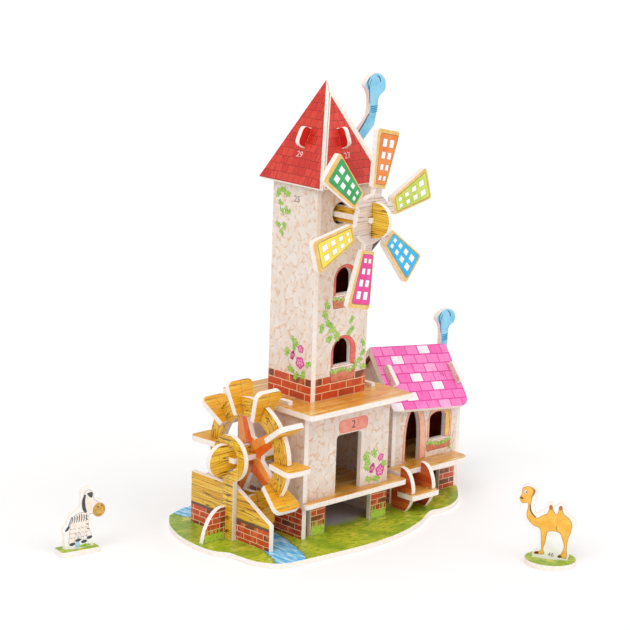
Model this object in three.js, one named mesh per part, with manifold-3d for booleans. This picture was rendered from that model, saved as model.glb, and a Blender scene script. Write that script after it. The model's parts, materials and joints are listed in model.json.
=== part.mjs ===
// Slot-together board model of a windmill house: a square tower with a sail wheel, a lower house with a
// water wheel, an annex with a tiled roof, and two loose animals on stands. Every piece is a flat board
// cut from one thickness of laminated foam board.
//
// Frame, in millimetres: +X runs right along the house front, -Y is the side that the front faces, +Z is
// up. The origin is under the middle of the tower, on the underside of the base board.
import * as THREE from 'three';
import { mergeVertices } from 'three/addons/utils/BufferGeometryUtils.js';
import Module from 'manifold-3d';

const wasm = await Module();
wasm.setup();

// ---- Driving dimensions -------------------------------------------------------------------------
const T = 2.2; // board thickness
const GAP = 0.25; // slack round a board in a slot
const PROUD = 1.3; // how far a wall's tab stands above the deck

const PORCH_TOP = 17.3;
const DECK_TOP = 55.3;
const EAVE = 141.8; // outer lower edge of the tower roof
const APEX = 181.1;

const HOUSE = { x0: -24, x1: 24.2, front: -18.3, back: 20 }; // outer faces of the lower house
const LEFT_WALL_FRONT = -19.3; // the left wall's front edge stands proud of the front wall
const TOWER = { x: 15, y: 12.6 }; // half sizes of the tower over its walls
const ROOF_OUT = { x: 18.6, y: 17.5 }; // half sizes of the tower roof at its eave

// The sail wheel's middle, the turn of its axle about Z, and the radii of its hub, nose and holes.
const ROTOR = { x: -0.6, y: -28.2, z: 130.1, yaw: 5, hub: 9.8, nose: 7, plate: 3.2, hole: 4.4 };
const BLADE = { count: 6, first: 78, inner: 12.2, outer: 35, innerHalf: 3.7, outerHalf: 6.7, neck: 2.1 };

const WHEEL = { x: -35, y: 0, z: 35.2, outer: 22.8, inner: 15.2, hub: 7.6, plate: 4.4, hole: 5.2, spokes: 5 };
const PADDLE = { count: 10, first: 2, inner: 16, outer: 29.5, innerHalf: 4.6, outerHalf: 6.4 };
const POST_X = -45.3; // middle of the post board
const PLANK_X = POST_X + T; // the plank wall lies against the post

const ANNEX = { x0: 36.3, x1: 77.5, front: -8.6, back: 17, floor: 18.3 };
const ANNEX_ROOF = { x: 57, y: 4.2, z: 64.6, slope: 51, tilt: 6.5, half: 23, length: 29.5 };

const COLOURS = {
  grass: 0xa9bf2a, stucco: 0xe9dcd0, brick: 0xc9421b, wood: 0xe9a92c, tile: 0xe8503f, pink: 0xf77fc0,
  foam: 0xf3e4d9, yellow: 0xeab726, orange: 0xf08a3c, paleWood: 0xdcc9be, blue: 0x82c8ea,
  zebra: 0xf2f0ee, camel: 0xf7be3c,
};

// ---- Helpers ------------------------------------------------------------------------------------
const AXIS_X = new THREE.Vector3(1, 0, 0);
const AXIS_Y = new THREE.Vector3(0, 1, 0);
const AXIS_Z = new THREE.Vector3(0, 0, 1);
const degrees = THREE.MathUtils.degToRad;

// The three ways a board can stand. An outline is drawn in (u, v): front boards have u along X and v
// along Z, side boards u along Y and v along Z, flat boards u along X and v along Y.
const STANDING = {
  front: new THREE.Matrix4().makeBasis(AXIS_X, AXIS_Z, AXIS_Y.clone().negate()),
  side: new THREE.Matrix4().makeBasis(AXIS_Y, AXIS_Z, AXIS_X),
  flat: new THREE.Matrix4().makeBasis(AXIS_X, AXIS_Y, AXIS_Z),
};
const NORMAL = { front: AXIS_Y, side: AXIS_X, flat: AXIS_Z };

function solidOf(geometry) {
  const bare = geometry.clone();
  bare.deleteAttribute('normal');
  bare.deleteAttribute('uv');
  const merged = mergeVertices(bare, 1e-4);
  return new wasm.Manifold(new wasm.Mesh({
    numProp: 3,
    vertProperties: merged.getAttribute('position').array,
    triVerts: Uint32Array.from(merged.getIndex().array),
  }));
}

function geometryOf(solid) {
  const mesh = solid.getMesh();
  const geometry = new THREE.BufferGeometry();
  geometry.setAttribute('position', new THREE.BufferAttribute(mesh.vertProperties, 3));
  geometry.setIndex(new THREE.BufferAttribute(mesh.triVerts, 1));
  geometry.computeVertexNormals();
  return geometry;
}

// A flat board as a solid: its outline, the way it stands, and where its mid plane lies.
function board(way, outline, at, thickness = T, segments = 12) {
  const geometry = new THREE.ExtrudeGeometry(outline, {
    depth: thickness, bevelEnabled: false, curveSegments: segments,
  });
  geometry.translate(0, 0, -thickness / 2);
  geometry.applyMatrix4(STANDING[way]);
  const place = NORMAL[way].clone().multiplyScalar(at);
  geometry.translate(place.x, place.y, place.z);
  return solidOf(geometry);
}

// A box solid between two corners.
function block(x0, x1, y0, y1, z0, z1) {
  const geometry = new THREE.BoxGeometry(x1 - x0, y1 - y0, z1 - z0);
  geometry.translate((x0 + x1) / 2, (y0 + y1) / 2, (z0 + z1) / 2);
  return solidOf(geometry);
}

function moved(solid, matrix) {
  const geometry = geometryOf(solid);
  geometry.applyMatrix4(matrix);
  return solidOf(geometry);
}

function cut(solid, ...tools) {
  return tools.reduce((rest, tool) => rest.subtract(tool), solid);
}

function piece(name, solid, colour) {
  const material = new THREE.MeshStandardMaterial({ color: colour, roughness: 0.45, metalness: 0 });
  const mesh = new THREE.Mesh(geometryOf(solid), material);
  mesh.name = name;
  return mesh;
}

function polygon(points) {
  return new THREE.Shape(points.map(([u, v]) => new THREE.Vector2(u, v)));
}

// A rectangle with its four corners rounded: lower left, lower right, upper right, upper left.
function roundedBox(u0, v0, u1, v1, radii) {
  const [a, b, c, d] = Array.isArray(radii) ? radii : [radii, radii, radii, radii];
  const shape = new THREE.Shape();
  shape.moveTo(u0 + a, v0);
  shape.lineTo(u1 - b, v0);
  shape.quadraticCurveTo(u1, v0, u1, v0 + b);
  shape.lineTo(u1, v1 - c);
  shape.quadraticCurveTo(u1, v1, u1 - c, v1);
  shape.lineTo(u0 + d, v1);
  shape.quadraticCurveTo(u0, v1, u0, v1 - d);
  shape.lineTo(u0, v0 + a);
  shape.quadraticCurveTo(u0, v0, u0 + a, v0);
  return shape;
}

// An opening with a straight sill and a round head; rise is how high the head curves up.
function arch(u0, u1, sill, top, rise = (u1 - u0) / 2) {
  const middle = (u0 + u1) / 2;
  const half = (u1 - u0) / 2;
  const spring = Math.max(top - rise, sill + 1);
  const path = new THREE.Shape();
  path.moveTo(u0, sill);
  path.lineTo(u1, sill);
  path.lineTo(u1, spring);
  path.absellipse(middle, spring, half, top - spring, 0, Math.PI, false, 0);
  path.lineTo(u0, sill);
  return path;
}

function disc(u, v, radius) {
  const shape = new THREE.Shape();
  shape.absarc(u, v, radius, 0, 2 * Math.PI, false);
  return shape;
}

// A square-edged tool that leaves slack all round a board crossing another one.
function slot(x0, x1, y0, y1, z0, z1) {
  return block(x0 - GAP, x1 + GAP, y0 - GAP, y1 + GAP, z0 - GAP, z1 + GAP);
}

// ---- Base -----------------------------------------------------------------------------------------
function basePlate() {
  const outline = new THREE.Shape();
  outline.moveTo(-45.7, 36);
  outline.splineThru([
    [-53, 27], [-58, 16], [-60.4, 4], [-60, -7], [-56.4, -13], [-55.9, -19], [-54.4, -28], [-48.5, -34.8],
    [-40, -36.6], [-22, -38.4], [-5, -39.3], [14, -37.4], [31, -32], [39, -27.6], [44, -25.6],
    [49, -26.4], [56, -25.4], [64, -21.5], [71, -15.4], [78, -7.8], [83.4, 0], [84.8, 9], [80, 20],
    [69, 27], [52, 30], [36, 29], [24, 33], [8, 37], [-8, 35], [-22, 38], [-34, 40], [-45.7, 36],
  ].map(([u, v]) => new THREE.Vector2(u, v)));
  return piece('base_plate', board('flat', outline, T / 2, T, 4), COLOURS.grass);
}

// ---- Lower house ------------------------------------------------------------------------------------
const WALL_TOP = DECK_TOP - T;
const DECK_TAB = { y0: -9.5, y1: -4 }; // the tabs of the two side walls, up through the deck
const DOOR = { x0: -5.3, x1: 8.6, top: 41.3, round: 2 };
const LEGS = [{ x0: -18.4, x1: -10.4 }, { x0: 15, x1: HOUSE.x1 }];

function sideWall(name, outerX, front, hasBearing) {
  const outline = polygon([
    [front, T], [HOUSE.back, T], [HOUSE.back, WALL_TOP], [DECK_TAB.y1, WALL_TOP],
    [DECK_TAB.y1, DECK_TOP + PROUD], [DECK_TAB.y0, DECK_TOP + PROUD], [DECK_TAB.y0, WALL_TOP],
    [front, WALL_TOP],
  ]);
  let wall = board('side', outline, outerX);
  if (hasBearing) wall = cut(wall, board('side', disc(WHEEL.y, WHEEL.z, WHEEL.hole), outerX, 3 * T));
  return piece(name, wall, COLOURS.stucco);
}

function houseFront() {
  const left = HOUSE.x0 + T;
  const outline = new THREE.Shape();
  outline.moveTo(left, PORCH_TOP);
  outline.lineTo(LEGS[0].x0, PORCH_TOP);
  outline.lineTo(LEGS[0].x0, T);
  outline.lineTo(LEGS[0].x1, T);
  outline.lineTo(LEGS[0].x1, PORCH_TOP);
  outline.lineTo(DOOR.x0, PORCH_TOP);
  outline.lineTo(DOOR.x0, DOOR.top - DOOR.round);
  outline.quadraticCurveTo(DOOR.x0, DOOR.top, DOOR.x0 + DOOR.round, DOOR.top);
  outline.lineTo(DOOR.x1 - DOOR.round, DOOR.top);
  outline.quadraticCurveTo(DOOR.x1, DOOR.top, DOOR.x1, DOOR.top - DOOR.round);
  outline.lineTo(DOOR.x1, PORCH_TOP);
  outline.lineTo(LEGS[1].x0, PORCH_TOP);
  outline.lineTo(LEGS[1].x0, T);
  outline.lineTo(LEGS[1].x1, T);
  outline.lineTo(LEGS[1].x1, WALL_TOP);
  outline.lineTo(left, WALL_TOP);
  return piece('house_front_wall', board('front', outline, HOUSE.front + T / 2), COLOURS.stucco);
}

function houseBack() {
  const outline = polygon([
    [HOUSE.x0 + T, T], [HOUSE.x1 - T, T], [HOUSE.x1 - T, WALL_TOP], [HOUSE.x0 + T, WALL_TOP],
  ]);
  return piece('house_back_wall', board('front', outline, HOUSE.back - T / 2), COLOURS.stucco);
}

function porchFloor() {
  const frontEdge = -22.5;
  const leftEnd = -25;
  const rightEnd = 32;
  const round = 2;
  const outline = new THREE.Shape();
  outline.moveTo(leftEnd + round, frontEdge);
  outline.lineTo(rightEnd - round, frontEdge);
  outline.quadraticCurveTo(rightEnd, frontEdge, rightEnd, frontEdge + round);
  outline.lineTo(rightEnd, -12);
  outline.lineTo(HOUSE.x1 + GAP, -12);
  outline.lineTo(HOUSE.x1 + GAP, HOUSE.front - GAP);
  outline.lineTo(LEGS[1].x0 - GAP, HOUSE.front - GAP);
  outline.lineTo(LEGS[1].x0 - GAP, HOUSE.front + T + GAP);
  outline.lineTo(HOUSE.x1 - T, HOUSE.front + T + GAP);
  outline.lineTo(HOUSE.x1 - T, HOUSE.back - T);
  outline.lineTo(HOUSE.x0 + T, HOUSE.back - T);
  outline.lineTo(HOUSE.x0 + T, LEFT_WALL_FRONT - GAP);
  outline.lineTo(leftEnd, LEFT_WALL_FRONT - GAP);
  outline.lineTo(leftEnd, frontEdge + round);
  outline.quadraticCurveTo(leftEnd, frontEdge, leftEnd + round, frontEdge);
  const floor = board('flat', outline, PORCH_TOP - T / 2);
  const leg = slot(LEGS[0].x0, LEGS[0].x1, HOUSE.front, HOUSE.front + T, 0, PORCH_TOP);
  return piece('porch_floor', cut(floor, leg), COLOURS.wood);
}

const TOWER_TAB = 4; // half length of the tower's tabs down into the deck

function upperDeck() {
  const deck = board('flat', roundedBox(-28, -27, 28.5, 25.6, 1.2), DECK_TOP - T / 2);
  const tabs = [HOUSE.x0, HOUSE.x1 - T].map(
    (x) => slot(x, x + T, DECK_TAB.y0, DECK_TAB.y1, WALL_TOP, DECK_TOP),
  );
  const towerTabs = [-TOWER.x, TOWER.x - T].map(
    (x) => slot(x, x + T, -TOWER_TAB, TOWER_TAB, WALL_TOP, DECK_TOP),
  );
  return piece('upper_deck', cut(deck, ...tabs, ...towerTabs), COLOURS.wood);
}

function lowerHouse() {
  return [
    sideWall('house_left_wall', HOUSE.x0 + T / 2, LEFT_WALL_FRONT, true),
    houseFront(),
    sideWall('house_right_wall', HOUSE.x1 - T / 2, HOUSE.front + T, false),
    houseBack(),
    porchFloor(),
    upperDeck(),
  ];
}

// ---- Tower ------------------------------------------------------------------------------------------
const WINDOWS = [{ x0: -3.5, x1: 6, sill: 68.5, top: 79.3 }, { x0: -3.3, x1: 5.6, sill: 97.6, top: 108.1 }];

function towerSide(name, outerX, front) {
  const outline = polygon([
    [front, DECK_TOP], [-TOWER_TAB, DECK_TOP], [-TOWER_TAB, WALL_TOP], [TOWER_TAB, WALL_TOP],
    [TOWER_TAB, DECK_TOP], [TOWER.y, DECK_TOP], [TOWER.y, EAVE], [front, EAVE],
  ]);
  return piece(name, board('side', outline, outerX), COLOURS.stucco);
}

// Where the turned axle crosses a plane of constant Y.
function rotorXAt(y) {
  return ROTOR.x - (y - ROTOR.y) * Math.tan(degrees(ROTOR.yaw));
}

function rotorHole(y) {
  return board('front', disc(rotorXAt(y), ROTOR.z, ROTOR.hole), y, 4 * T);
}

function towerFront() {
  const mid = -TOWER.y + T / 2;
  const wall = board('front', polygon([
    [-TOWER.x + T, DECK_TOP], [TOWER.x, DECK_TOP], [TOWER.x, EAVE], [-TOWER.x + T, EAVE],
  ]), mid);
  const opening = ({ x0, x1, sill, top }) => board('front', arch(x0, x1, sill, top), mid, 4 * T);
  const openings = WINDOWS.map(opening);
  return piece('tower_front_wall', cut(wall, ...openings, rotorHole(mid)), COLOURS.stucco);
}

function towerBack() {
  const mid = TOWER.y - T / 2;
  const wall = board('front', polygon([
    [-TOWER.x + T, DECK_TOP], [TOWER.x - T, DECK_TOP], [TOWER.x - T, EAVE], [-TOWER.x + T, EAVE],
  ]), mid);
  return piece('tower_back_wall', cut(wall, rotorHole(mid)), COLOURS.stucco);
}

function tower() {
  return [
    towerSide('tower_left_wall', -TOWER.x + T / 2, -TOWER.y),
    towerFront(),
    towerSide('tower_right_wall', TOWER.x - T / 2, -TOWER.y + T),
    towerBack(),
  ];
}

// ---- Tower roof ---------------------------------------------------------------------------------------
const RISE = APEX - EAVE;

// The frame of a roof face that looks outwards along `out`: u level, v up the slope, w outwards.
function faceFrame(out, reach) {
  const slope = Math.atan2(RISE, reach);
  const up = out.clone().multiplyScalar(-Math.cos(slope)).addScaledVector(AXIS_Z, Math.sin(slope));
  const normal = out.clone().multiplyScalar(Math.sin(slope)).addScaledVector(AXIS_Z, Math.cos(slope));
  const level = new THREE.Vector3().crossVectors(up, normal);
  const frame = new THREE.Matrix4().makeBasis(level, up, normal);
  return frame.setPosition(out.x * reach, out.y * reach, EAVE);
}

function slab(frame, outline, w0, w1) {
  const geometry = new THREE.ExtrudeGeometry(outline, { depth: w1 - w0, bevelEnabled: false });
  geometry.translate(0, 0, w0);
  geometry.applyMatrix4(frame);
  return solidOf(geometry);
}

// A plate that stands on the tower walls under the roof, with a rounded tab out through each face.
const ROOF_TAB = { low: 15, high: 23, out: 3.6 }; // along the slope from the eave, and proud of the tiles
const LAP = 156.3; // where the two plates halve into each other

function roofPlate(way, reach) {
  const slope = Math.atan2(RISE, reach);
  const skin = T / Math.sin(slope) + GAP;
  const halfAt = (z) => (APEX - z) * reach / RISE - skin;
  const top = APEX - 11;
  const body = board(way, polygon([
    [-halfAt(EAVE), EAVE], [halfAt(EAVE), EAVE], [halfAt(top), top], [-halfAt(top), top],
  ]), 0);
  const tabOutline = roundedBox(ROOF_TAB.low, -T - 2, ROOF_TAB.high, ROOF_TAB.out, [0, 0, 2.4, 2.4]);
  const tabs = [1, -1].map((side) => {
    const points = tabOutline.getPoints(4).map(({ x: along, y: proud }) => [
      side * (reach - along * Math.cos(slope) + proud * Math.sin(slope)),
      EAVE + along * Math.sin(slope) + proud * Math.cos(slope),
    ]);
    return board(way, polygon(points), 0);
  });
  return { plate: body.add(tabs[0]).add(tabs[1]), tabs };
}

// A copy of a thin board, thickened by the slack, to cut the slot that it passes through.
function slackOf(way, solid) {
  const grow = 1 + 2 * GAP / T;
  const scale = { front: [1, grow, 1], side: [grow, 1, 1], flat: [1, 1, grow] }[way];
  return moved(solid, new THREE.Matrix4().makeScale(...scale));
}

function towerRoof(chimney) {
  const sides = [
    { name: 'left', out: AXIS_X.clone().negate(), reach: ROOF_OUT.x, half: ROOF_OUT.y },
    { name: 'right', out: AXIS_X.clone(), reach: ROOF_OUT.x, half: ROOF_OUT.y },
    { name: 'front', out: AXIS_Y.clone().negate(), reach: ROOF_OUT.y, half: ROOF_OUT.x },
    { name: 'back', out: AXIS_Y.clone(), reach: ROOF_OUT.y, half: ROOF_OUT.x },
  ];
  const across = roofPlate('front', ROOF_OUT.x);
  const along = roofPlate('side', ROOF_OUT.y);
  const tabSlots = [
    ...across.tabs.map((tab) => slackOf('front', tab)), ...along.tabs.map((tab) => slackOf('side', tab)),
  ];
  const big = polygon([[-60, -60], [60, -60], [60, 60], [-60, 60]]);
  const panels = sides.map(({ name, out, reach, half }) => {
    const frame = faceFrame(out, reach);
    const length = Math.hypot(RISE, reach);
    let panel = slab(frame, polygon([[-half, 0], [half, 0], [0, length]]), -T, 0);
    if (name === 'left' || name === 'right') {
      const [x0, x1] = name === 'left' ? [-GAP / 2, 60] : [-60, GAP / 2];
      panel = cut(panel, block(x0, x1, -60, 60, 0, 300));
    } else {
      const space = (side) => slab(faceFrame(side.out, side.reach), big, -T - GAP, 40);
      panel = cut(panel, ...sides.slice(0, 2).map(space));
    }
    if (name === 'right') panel = cut(panel, chimney);
    return piece(`roof_${name}_panel`, cut(panel, ...tabSlots), COLOURS.tile);
  });
  const halved = 20;
  const lapAcross = block(-T / 2 - GAP, T / 2 + GAP, -halved, halved, LAP, APEX);
  const lapAlong = block(-halved, halved, -T / 2 - GAP, T / 2 + GAP, 0, LAP + GAP);
  return [
    ...panels,
    piece('roof_cross_plate_x', cut(across.plate, lapAcross), COLOURS.tile),
    piece('roof_cross_plate_y', cut(along.plate, lapAlong), COLOURS.tile),
  ];
}

// ---- Stove pipes --------------------------------------------------------------------------------------
// Both are the same flat pipe: a neck with a band, and a rounded hood leaning over it.
// The lumpy head of a pipe, standing on its band; tall is its height.
function pipeHead(u, v, tall) {
  const at = (part) => v + part * tall;
  const head = new THREE.Shape();
  head.moveTo(u - 2.1, v);
  head.lineTo(u + 2.1, v);
  head.lineTo(u + 2.3, at(0.23));
  head.quadraticCurveTo(u + 2.8, at(0.35), u + 5.6, at(0.44));
  head.quadraticCurveTo(u + 7.6, at(0.75), u + 3.6, at(0.94));
  head.quadraticCurveTo(u + 0.4, at(1.06), u - 2.8, at(0.91));
  head.quadraticCurveTo(u - 5.6, at(0.76), u - 5.2, at(0.63));
  head.quadraticCurveTo(u - 2.6, at(0.47), u - 2.3, at(0.23));
  head.closePath();
  return head;
}

const TALL_PIPE = { x: 20.6, y: -5, band: 169.2, head: 13.6 };
const SHORT_PIPE = { x: 80.4, y: 6.4, band: 65, head: 11.8 };

function tallPipe() {
  const { x, y, band, head } = TALL_PIPE;
  const elbow = polygon([
    [x - 2.1, band + 0.5], [x - 3, band - 3.6], [x - 13.4, band - 14.4], [x - 10.6, band - 17.6],
    [x + 0.6, band - 7], [x + 2.1, band + 0.5],
  ]);
  return board('front', pipeHead(x, band, head), y, T, 6).add(board('front', elbow, y));
}

function shortPipe() {
  const { x, y, band, head } = SHORT_PIPE;
  const [left, right, low, high] = [x - 2.1, x + 2.1, band - 12, band + 0.5];
  const stem = polygon([[left, low], [right, low], [right, high], [left, high]]);
  return board('front', pipeHead(x, band, head), y, T, 6).add(board('front', stem, y));
}

// A board standing in a front plane away from Y = 0, thickened about its own mid plane.
function slackAboutY(solid, y) {
  const there = new THREE.Matrix4().makeTranslation(0, y, 0);
  const back = new THREE.Matrix4().makeTranslation(0, -y, 0);
  return moved(slackOf('front', moved(solid, back)), there);
}

// ---- Sail wheel ---------------------------------------------------------------------------------------
function bladeOutline() {
  const { inner, outer, innerHalf, outerHalf } = BLADE;
  const round = 1.6;
  const shape = new THREE.Shape();
  shape.moveTo(-innerHalf + 0.8, inner);
  shape.lineTo(innerHalf - 0.8, inner);
  shape.quadraticCurveTo(innerHalf, inner, innerHalf + 0.1, inner + 0.8);
  shape.lineTo(outerHalf - 0.1, outer - round);
  shape.quadraticCurveTo(outerHalf, outer, outerHalf - round, outer);
  shape.lineTo(-outerHalf + round, outer);
  shape.quadraticCurveTo(-outerHalf, outer, -outerHalf + 0.1, outer - round);
  shape.lineTo(-innerHalf - 0.1, inner + 0.8);
  shape.quadraticCurveTo(-innerHalf, inner, -innerHalf + 0.8, inner);
  return shape;
}

function sailWheel() {
  let wheel = board('front', disc(0, 0, ROTOR.hub), 0, T, 24);
  const neck = polygon([[-BLADE.neck, 5], [BLADE.neck, 5], [BLADE.neck, 14], [-BLADE.neck, 14]]);
  const arm = board('front', bladeOutline(), 0, T, 4).add(board('front', neck, 0));
  for (let i = 0; i < BLADE.count; i += 1) {
    const turn = degrees(90 - BLADE.first + i * 360 / BLADE.count);
    wheel = wheel.add(moved(arm, new THREE.Matrix4().makeRotationY(turn)));
  }
  const upright = slot(-T / 2, T / 2, -5, 5, -ROTOR.nose, ROTOR.nose);
  const level = slot(-ROTOR.plate, ROTOR.plate, -5, 5, -T / 2, T / 2);
  return piece('sail_wheel', cut(wheel, upright, level), COLOURS.paleWood);
}

const ROTOR_AXLE = { nose: -2.7, end: 44, lap: 20 }; // along Y from the sail wheel's mid plane

function rotorAxle() {
  const { nose, end, lap } = ROTOR_AXLE;
  const half = ROTOR.plate;
  const shaft = polygon([[nose, -half], [end, -half], [end, half], [nose, half]]);
  const upright = board('side', disc(nose, 0, ROTOR.nose), 0, T, 16).add(board('side', shaft, 0));
  const level = board('flat', polygon([[-half, -T], [half, -T], [half, end], [-half, end]]), 0);
  const halveUpright = block(-half, half, lap, end + 1, -T / 2 - GAP, T / 2 + GAP);
  const halveLevel = block(-T / 2 - GAP, T / 2 + GAP, -2 * T, lap + GAP, -half, half);
  return [
    piece('rotor_axle_upright', cut(upright, halveUpright), COLOURS.yellow),
    piece('rotor_axle_level', cut(level, halveLevel), COLOURS.yellow),
  ];
}

function rotor() {
  const group = new THREE.Group();
  group.position.set(ROTOR.x, ROTOR.y, ROTOR.z);
  group.rotation.z = degrees(ROTOR.yaw);
  group.add(sailWheel(), ...rotorAxle());
  return group;
}

// ---- Water wheel --------------------------------------------------------------------------------------
const NOTCH = 19.5; // radius at which a paddle and the ring halve into each other

function paddleFrame(i) {
  const angle = degrees(PADDLE.first + i * 360 / PADDLE.count);
  const radial = new THREE.Vector3(0, Math.cos(angle), Math.sin(angle));
  return new THREE.Matrix4().makeBasis(AXIS_X, radial, new THREE.Vector3().crossVectors(AXIS_X, radial));
}

function paddleBoard(i) {
  const { inner, outer, innerHalf, outerHalf } = PADDLE;
  const round = 3;
  const outline = new THREE.Shape();
  outline.moveTo(-innerHalf, inner);
  outline.lineTo(-T / 2 - GAP, inner);
  outline.lineTo(-T / 2 - GAP, NOTCH + GAP / 2);
  outline.lineTo(T / 2 + GAP, NOTCH + GAP / 2);
  outline.lineTo(T / 2 + GAP, inner);
  outline.lineTo(innerHalf, inner);
  outline.lineTo(outerHalf, outer - round);
  outline.quadraticCurveTo(outerHalf, outer, outerHalf - round, outer);
  outline.lineTo(-outerHalf + round, outer);
  outline.quadraticCurveTo(-outerHalf, outer, -outerHalf, outer - round);
  outline.closePath();
  return slab(paddleFrame(i), outline, -T / 2, T / 2);
}

function wheelRing() {
  const rim = board('side', disc(0, 0, WHEEL.outer), 0, T, 28);
  let ring = cut(rim, board('side', disc(0, 0, WHEEL.inner), 0, 3 * T, 24));
  ring = ring.add(board('side', disc(0, 0, WHEEL.hub), 0, T, 12));
  const spoke = polygon([[3, -4], [WHEEL.inner + 1, -2.6], [WHEEL.inner + 1, 2.6], [3, 4]]);
  for (let i = 0; i < WHEEL.spokes; i += 1) {
    const turn = new THREE.Matrix4().makeRotationX(degrees(PADDLE.first + i * 360 / WHEEL.spokes));
    ring = ring.add(moved(board('side', spoke, 0), turn));
  }
  for (let i = 0; i < PADDLE.count; i += 1) {
    const mouth = polygon([[-T, NOTCH - GAP / 2], [T, NOTCH - GAP / 2], [T, 40], [-T, 40]]);
    ring = cut(ring, slab(paddleFrame(i), mouth, -T / 2 - GAP, T / 2 + GAP));
  }
  const upright = slot(-5, 5, -T / 2, T / 2, -WHEEL.plate, WHEEL.plate);
  const level = slot(-5, 5, -WHEEL.plate, WHEEL.plate, -T / 2, T / 2);
  return piece('water_wheel_ring', cut(ring, upright, level), COLOURS.orange);
}

// Along X from the ring: the nose's middle and its flat edge, the level board's start, the axle's end.
const WHEEL_AXLE = { nose: -15.4, noseRadius: 6.6, noseEdge: -12, start: -12.5, end: 17, lap: 2.5 };

function wheelAxle() {
  const { nose, noseRadius, noseEdge, start, end, lap } = WHEEL_AXLE;
  const half = WHEEL.plate;
  const shaft = polygon([[nose, -half], [end, -half], [end, half], [nose, half]]);
  const round = board('front', disc(nose, 0, noseRadius), 0, T, 16);
  const upright = cut(round, block(noseEdge, end, -9, 9, -9, 9)).add(board('front', shaft, 0));
  const level = board('flat', polygon([[start, -half], [end, -half], [end, half], [start, half]]), 0);
  const halveUpright = block(lap, end + 1, -half, half, -T / 2 - GAP, T / 2 + GAP);
  const halveLevel = block(start - 1, lap + GAP, -T / 2 - GAP, T / 2 + GAP, -half, half);
  return [
    piece('wheel_axle_upright', cut(upright, halveUpright), COLOURS.yellow),
    piece('wheel_axle_level', cut(level, halveLevel), COLOURS.yellow),
  ];
}

function waterWheel() {
  const group = new THREE.Group();
  group.position.set(WHEEL.x, WHEEL.y, WHEEL.z);
  group.add(wheelRing(), ...wheelAxle());
  for (let i = 0; i < PADDLE.count; i += 1) {
    group.add(piece(`paddle_${i + 1}`, paddleBoard(i), COLOURS.orange));
  }
  return group;
}

function wheelSupport() {
  const stem = polygon([[-3.2, T], [3.2, T], [3.2, WHEEL.z - 6], [-3.2, WHEEL.z - 6]]);
  const post = cut(
    board('side', disc(WHEEL.y, WHEEL.z, 9.4), POST_X, T, 20).add(board('side', stem, POST_X)),
    board('side', disc(WHEEL.y, WHEEL.z, WHEEL.hole), POST_X, 3 * T),
  );
  const planks = board('side', polygon([
    [-22.5, T], [24.5, T], [24.5, 23.8], [-1.5, 23.8], [-22.5, 12.9],
  ]), PLANK_X);
  const buttress = new THREE.Shape();
  const face = POST_X - T / 2;
  buttress.moveTo(face, T);
  buttress.lineTo(face, T + 13.2);
  buttress.lineTo(face - 2.4, T + 13.2);
  buttress.quadraticCurveTo(face - 9.2, T + 11.4, face - 11.6, T);
  buttress.closePath();
  return [
    piece('wheel_post', post, COLOURS.yellow),
    piece('wheel_plank_wall', planks, COLOURS.yellow),
    piece('wheel_buttress', board('front', buttress, 2, T, 8), COLOURS.brick),
  ];
}

// ---- Annex ----------------------------------------------------------------------------------------------
const ANNEX_SLOPE = degrees(ANNEX_ROOF.slope);
const ANNEX_TILT = degrees(ANNEX_ROOF.tilt);
const ANNEX_TAB = { low: 9.5, high: 19, out: 2.6 }; // along the slope from the ridge, and proud of the tiles
const ANNEX_WALL_X0 = ANNEX.x0 + T;
const ANNEX_WALL_X1 = ANNEX.x1 - T;
const ANNEX_DOOR = { x0: 44.4, x1: 53, top: 41, rise: 13 };
const ANNEX_WINDOW = { x0: 58.6, x1: 68.2, sill: 25.8, top: 37.4, rise: 2.4 };
const ANNEX_LEGS = [{ x0: ANNEX_WALL_X0, x1: 45 }, { x0: 66, x1: ANNEX_WALL_X1 }];
const STRINGER_X = [34.6, 46.6]; // mid planes of the two stair sides

// The roof sits a little askew: the frame of its ridge, tipped down to the right.
const annexRoofFrame = new THREE.Matrix4().makeRotationY(ANNEX_TILT)
  .setPosition(ANNEX_ROOF.x, ANNEX_ROOF.y, ANNEX_ROOF.z);

// The frame of one slope of the annex roof: u along the ridge, v up the slope to the ridge, w outwards.
function annexSlope(side) {
  const up = new THREE.Vector3(0, -side * Math.cos(ANNEX_SLOPE), Math.sin(ANNEX_SLOPE));
  const normal = new THREE.Vector3(0, side * Math.sin(ANNEX_SLOPE), Math.cos(ANNEX_SLOPE));
  const slope = new THREE.Matrix4().makeBasis(new THREE.Vector3().crossVectors(up, normal), up, normal);
  return new THREE.Matrix4().multiplyMatrices(annexRoofFrame, slope);
}

// The space under the roof, as one long prism that walls are trimmed to.
function underAnnexRoof() {
  const drop = (T + GAP) / Math.cos(ANNEX_SLOPE);
  const reach = 30;
  const outline = polygon([
    [-reach, -reach * Math.tan(ANNEX_SLOPE) - drop], [-reach, -90], [reach, -90],
    [reach, -reach * Math.tan(ANNEX_SLOPE) - drop], [0, -drop],
  ]);
  return moved(board('side', outline, 0, 90), annexRoofFrame);
}

// How far the tipped ridge lies above its middle at a given X.
function ridgeAt(x) {
  return ANNEX_ROOF.z - (x - ANNEX_ROOF.x) * Math.tan(ANNEX_TILT);
}

function gableTab(x, side, slack) {
  const { low, high, out } = ANNEX_TAB;
  const outline = roundedBox(low - slack, -T - 3, high + slack, out, [0, 0, 1, 1]);
  const points = outline.getPoints(3).map(({ x: along, y: proud }) => [
    ANNEX_ROOF.y + side * (along * Math.cos(ANNEX_SLOPE) + proud * Math.sin(ANNEX_SLOPE)),
    ridgeAt(x) - along * Math.sin(ANNEX_SLOPE) + proud * Math.cos(ANNEX_SLOPE),
  ]);
  return board('side', polygon(points), x, T + 2 * slack);
}

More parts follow.
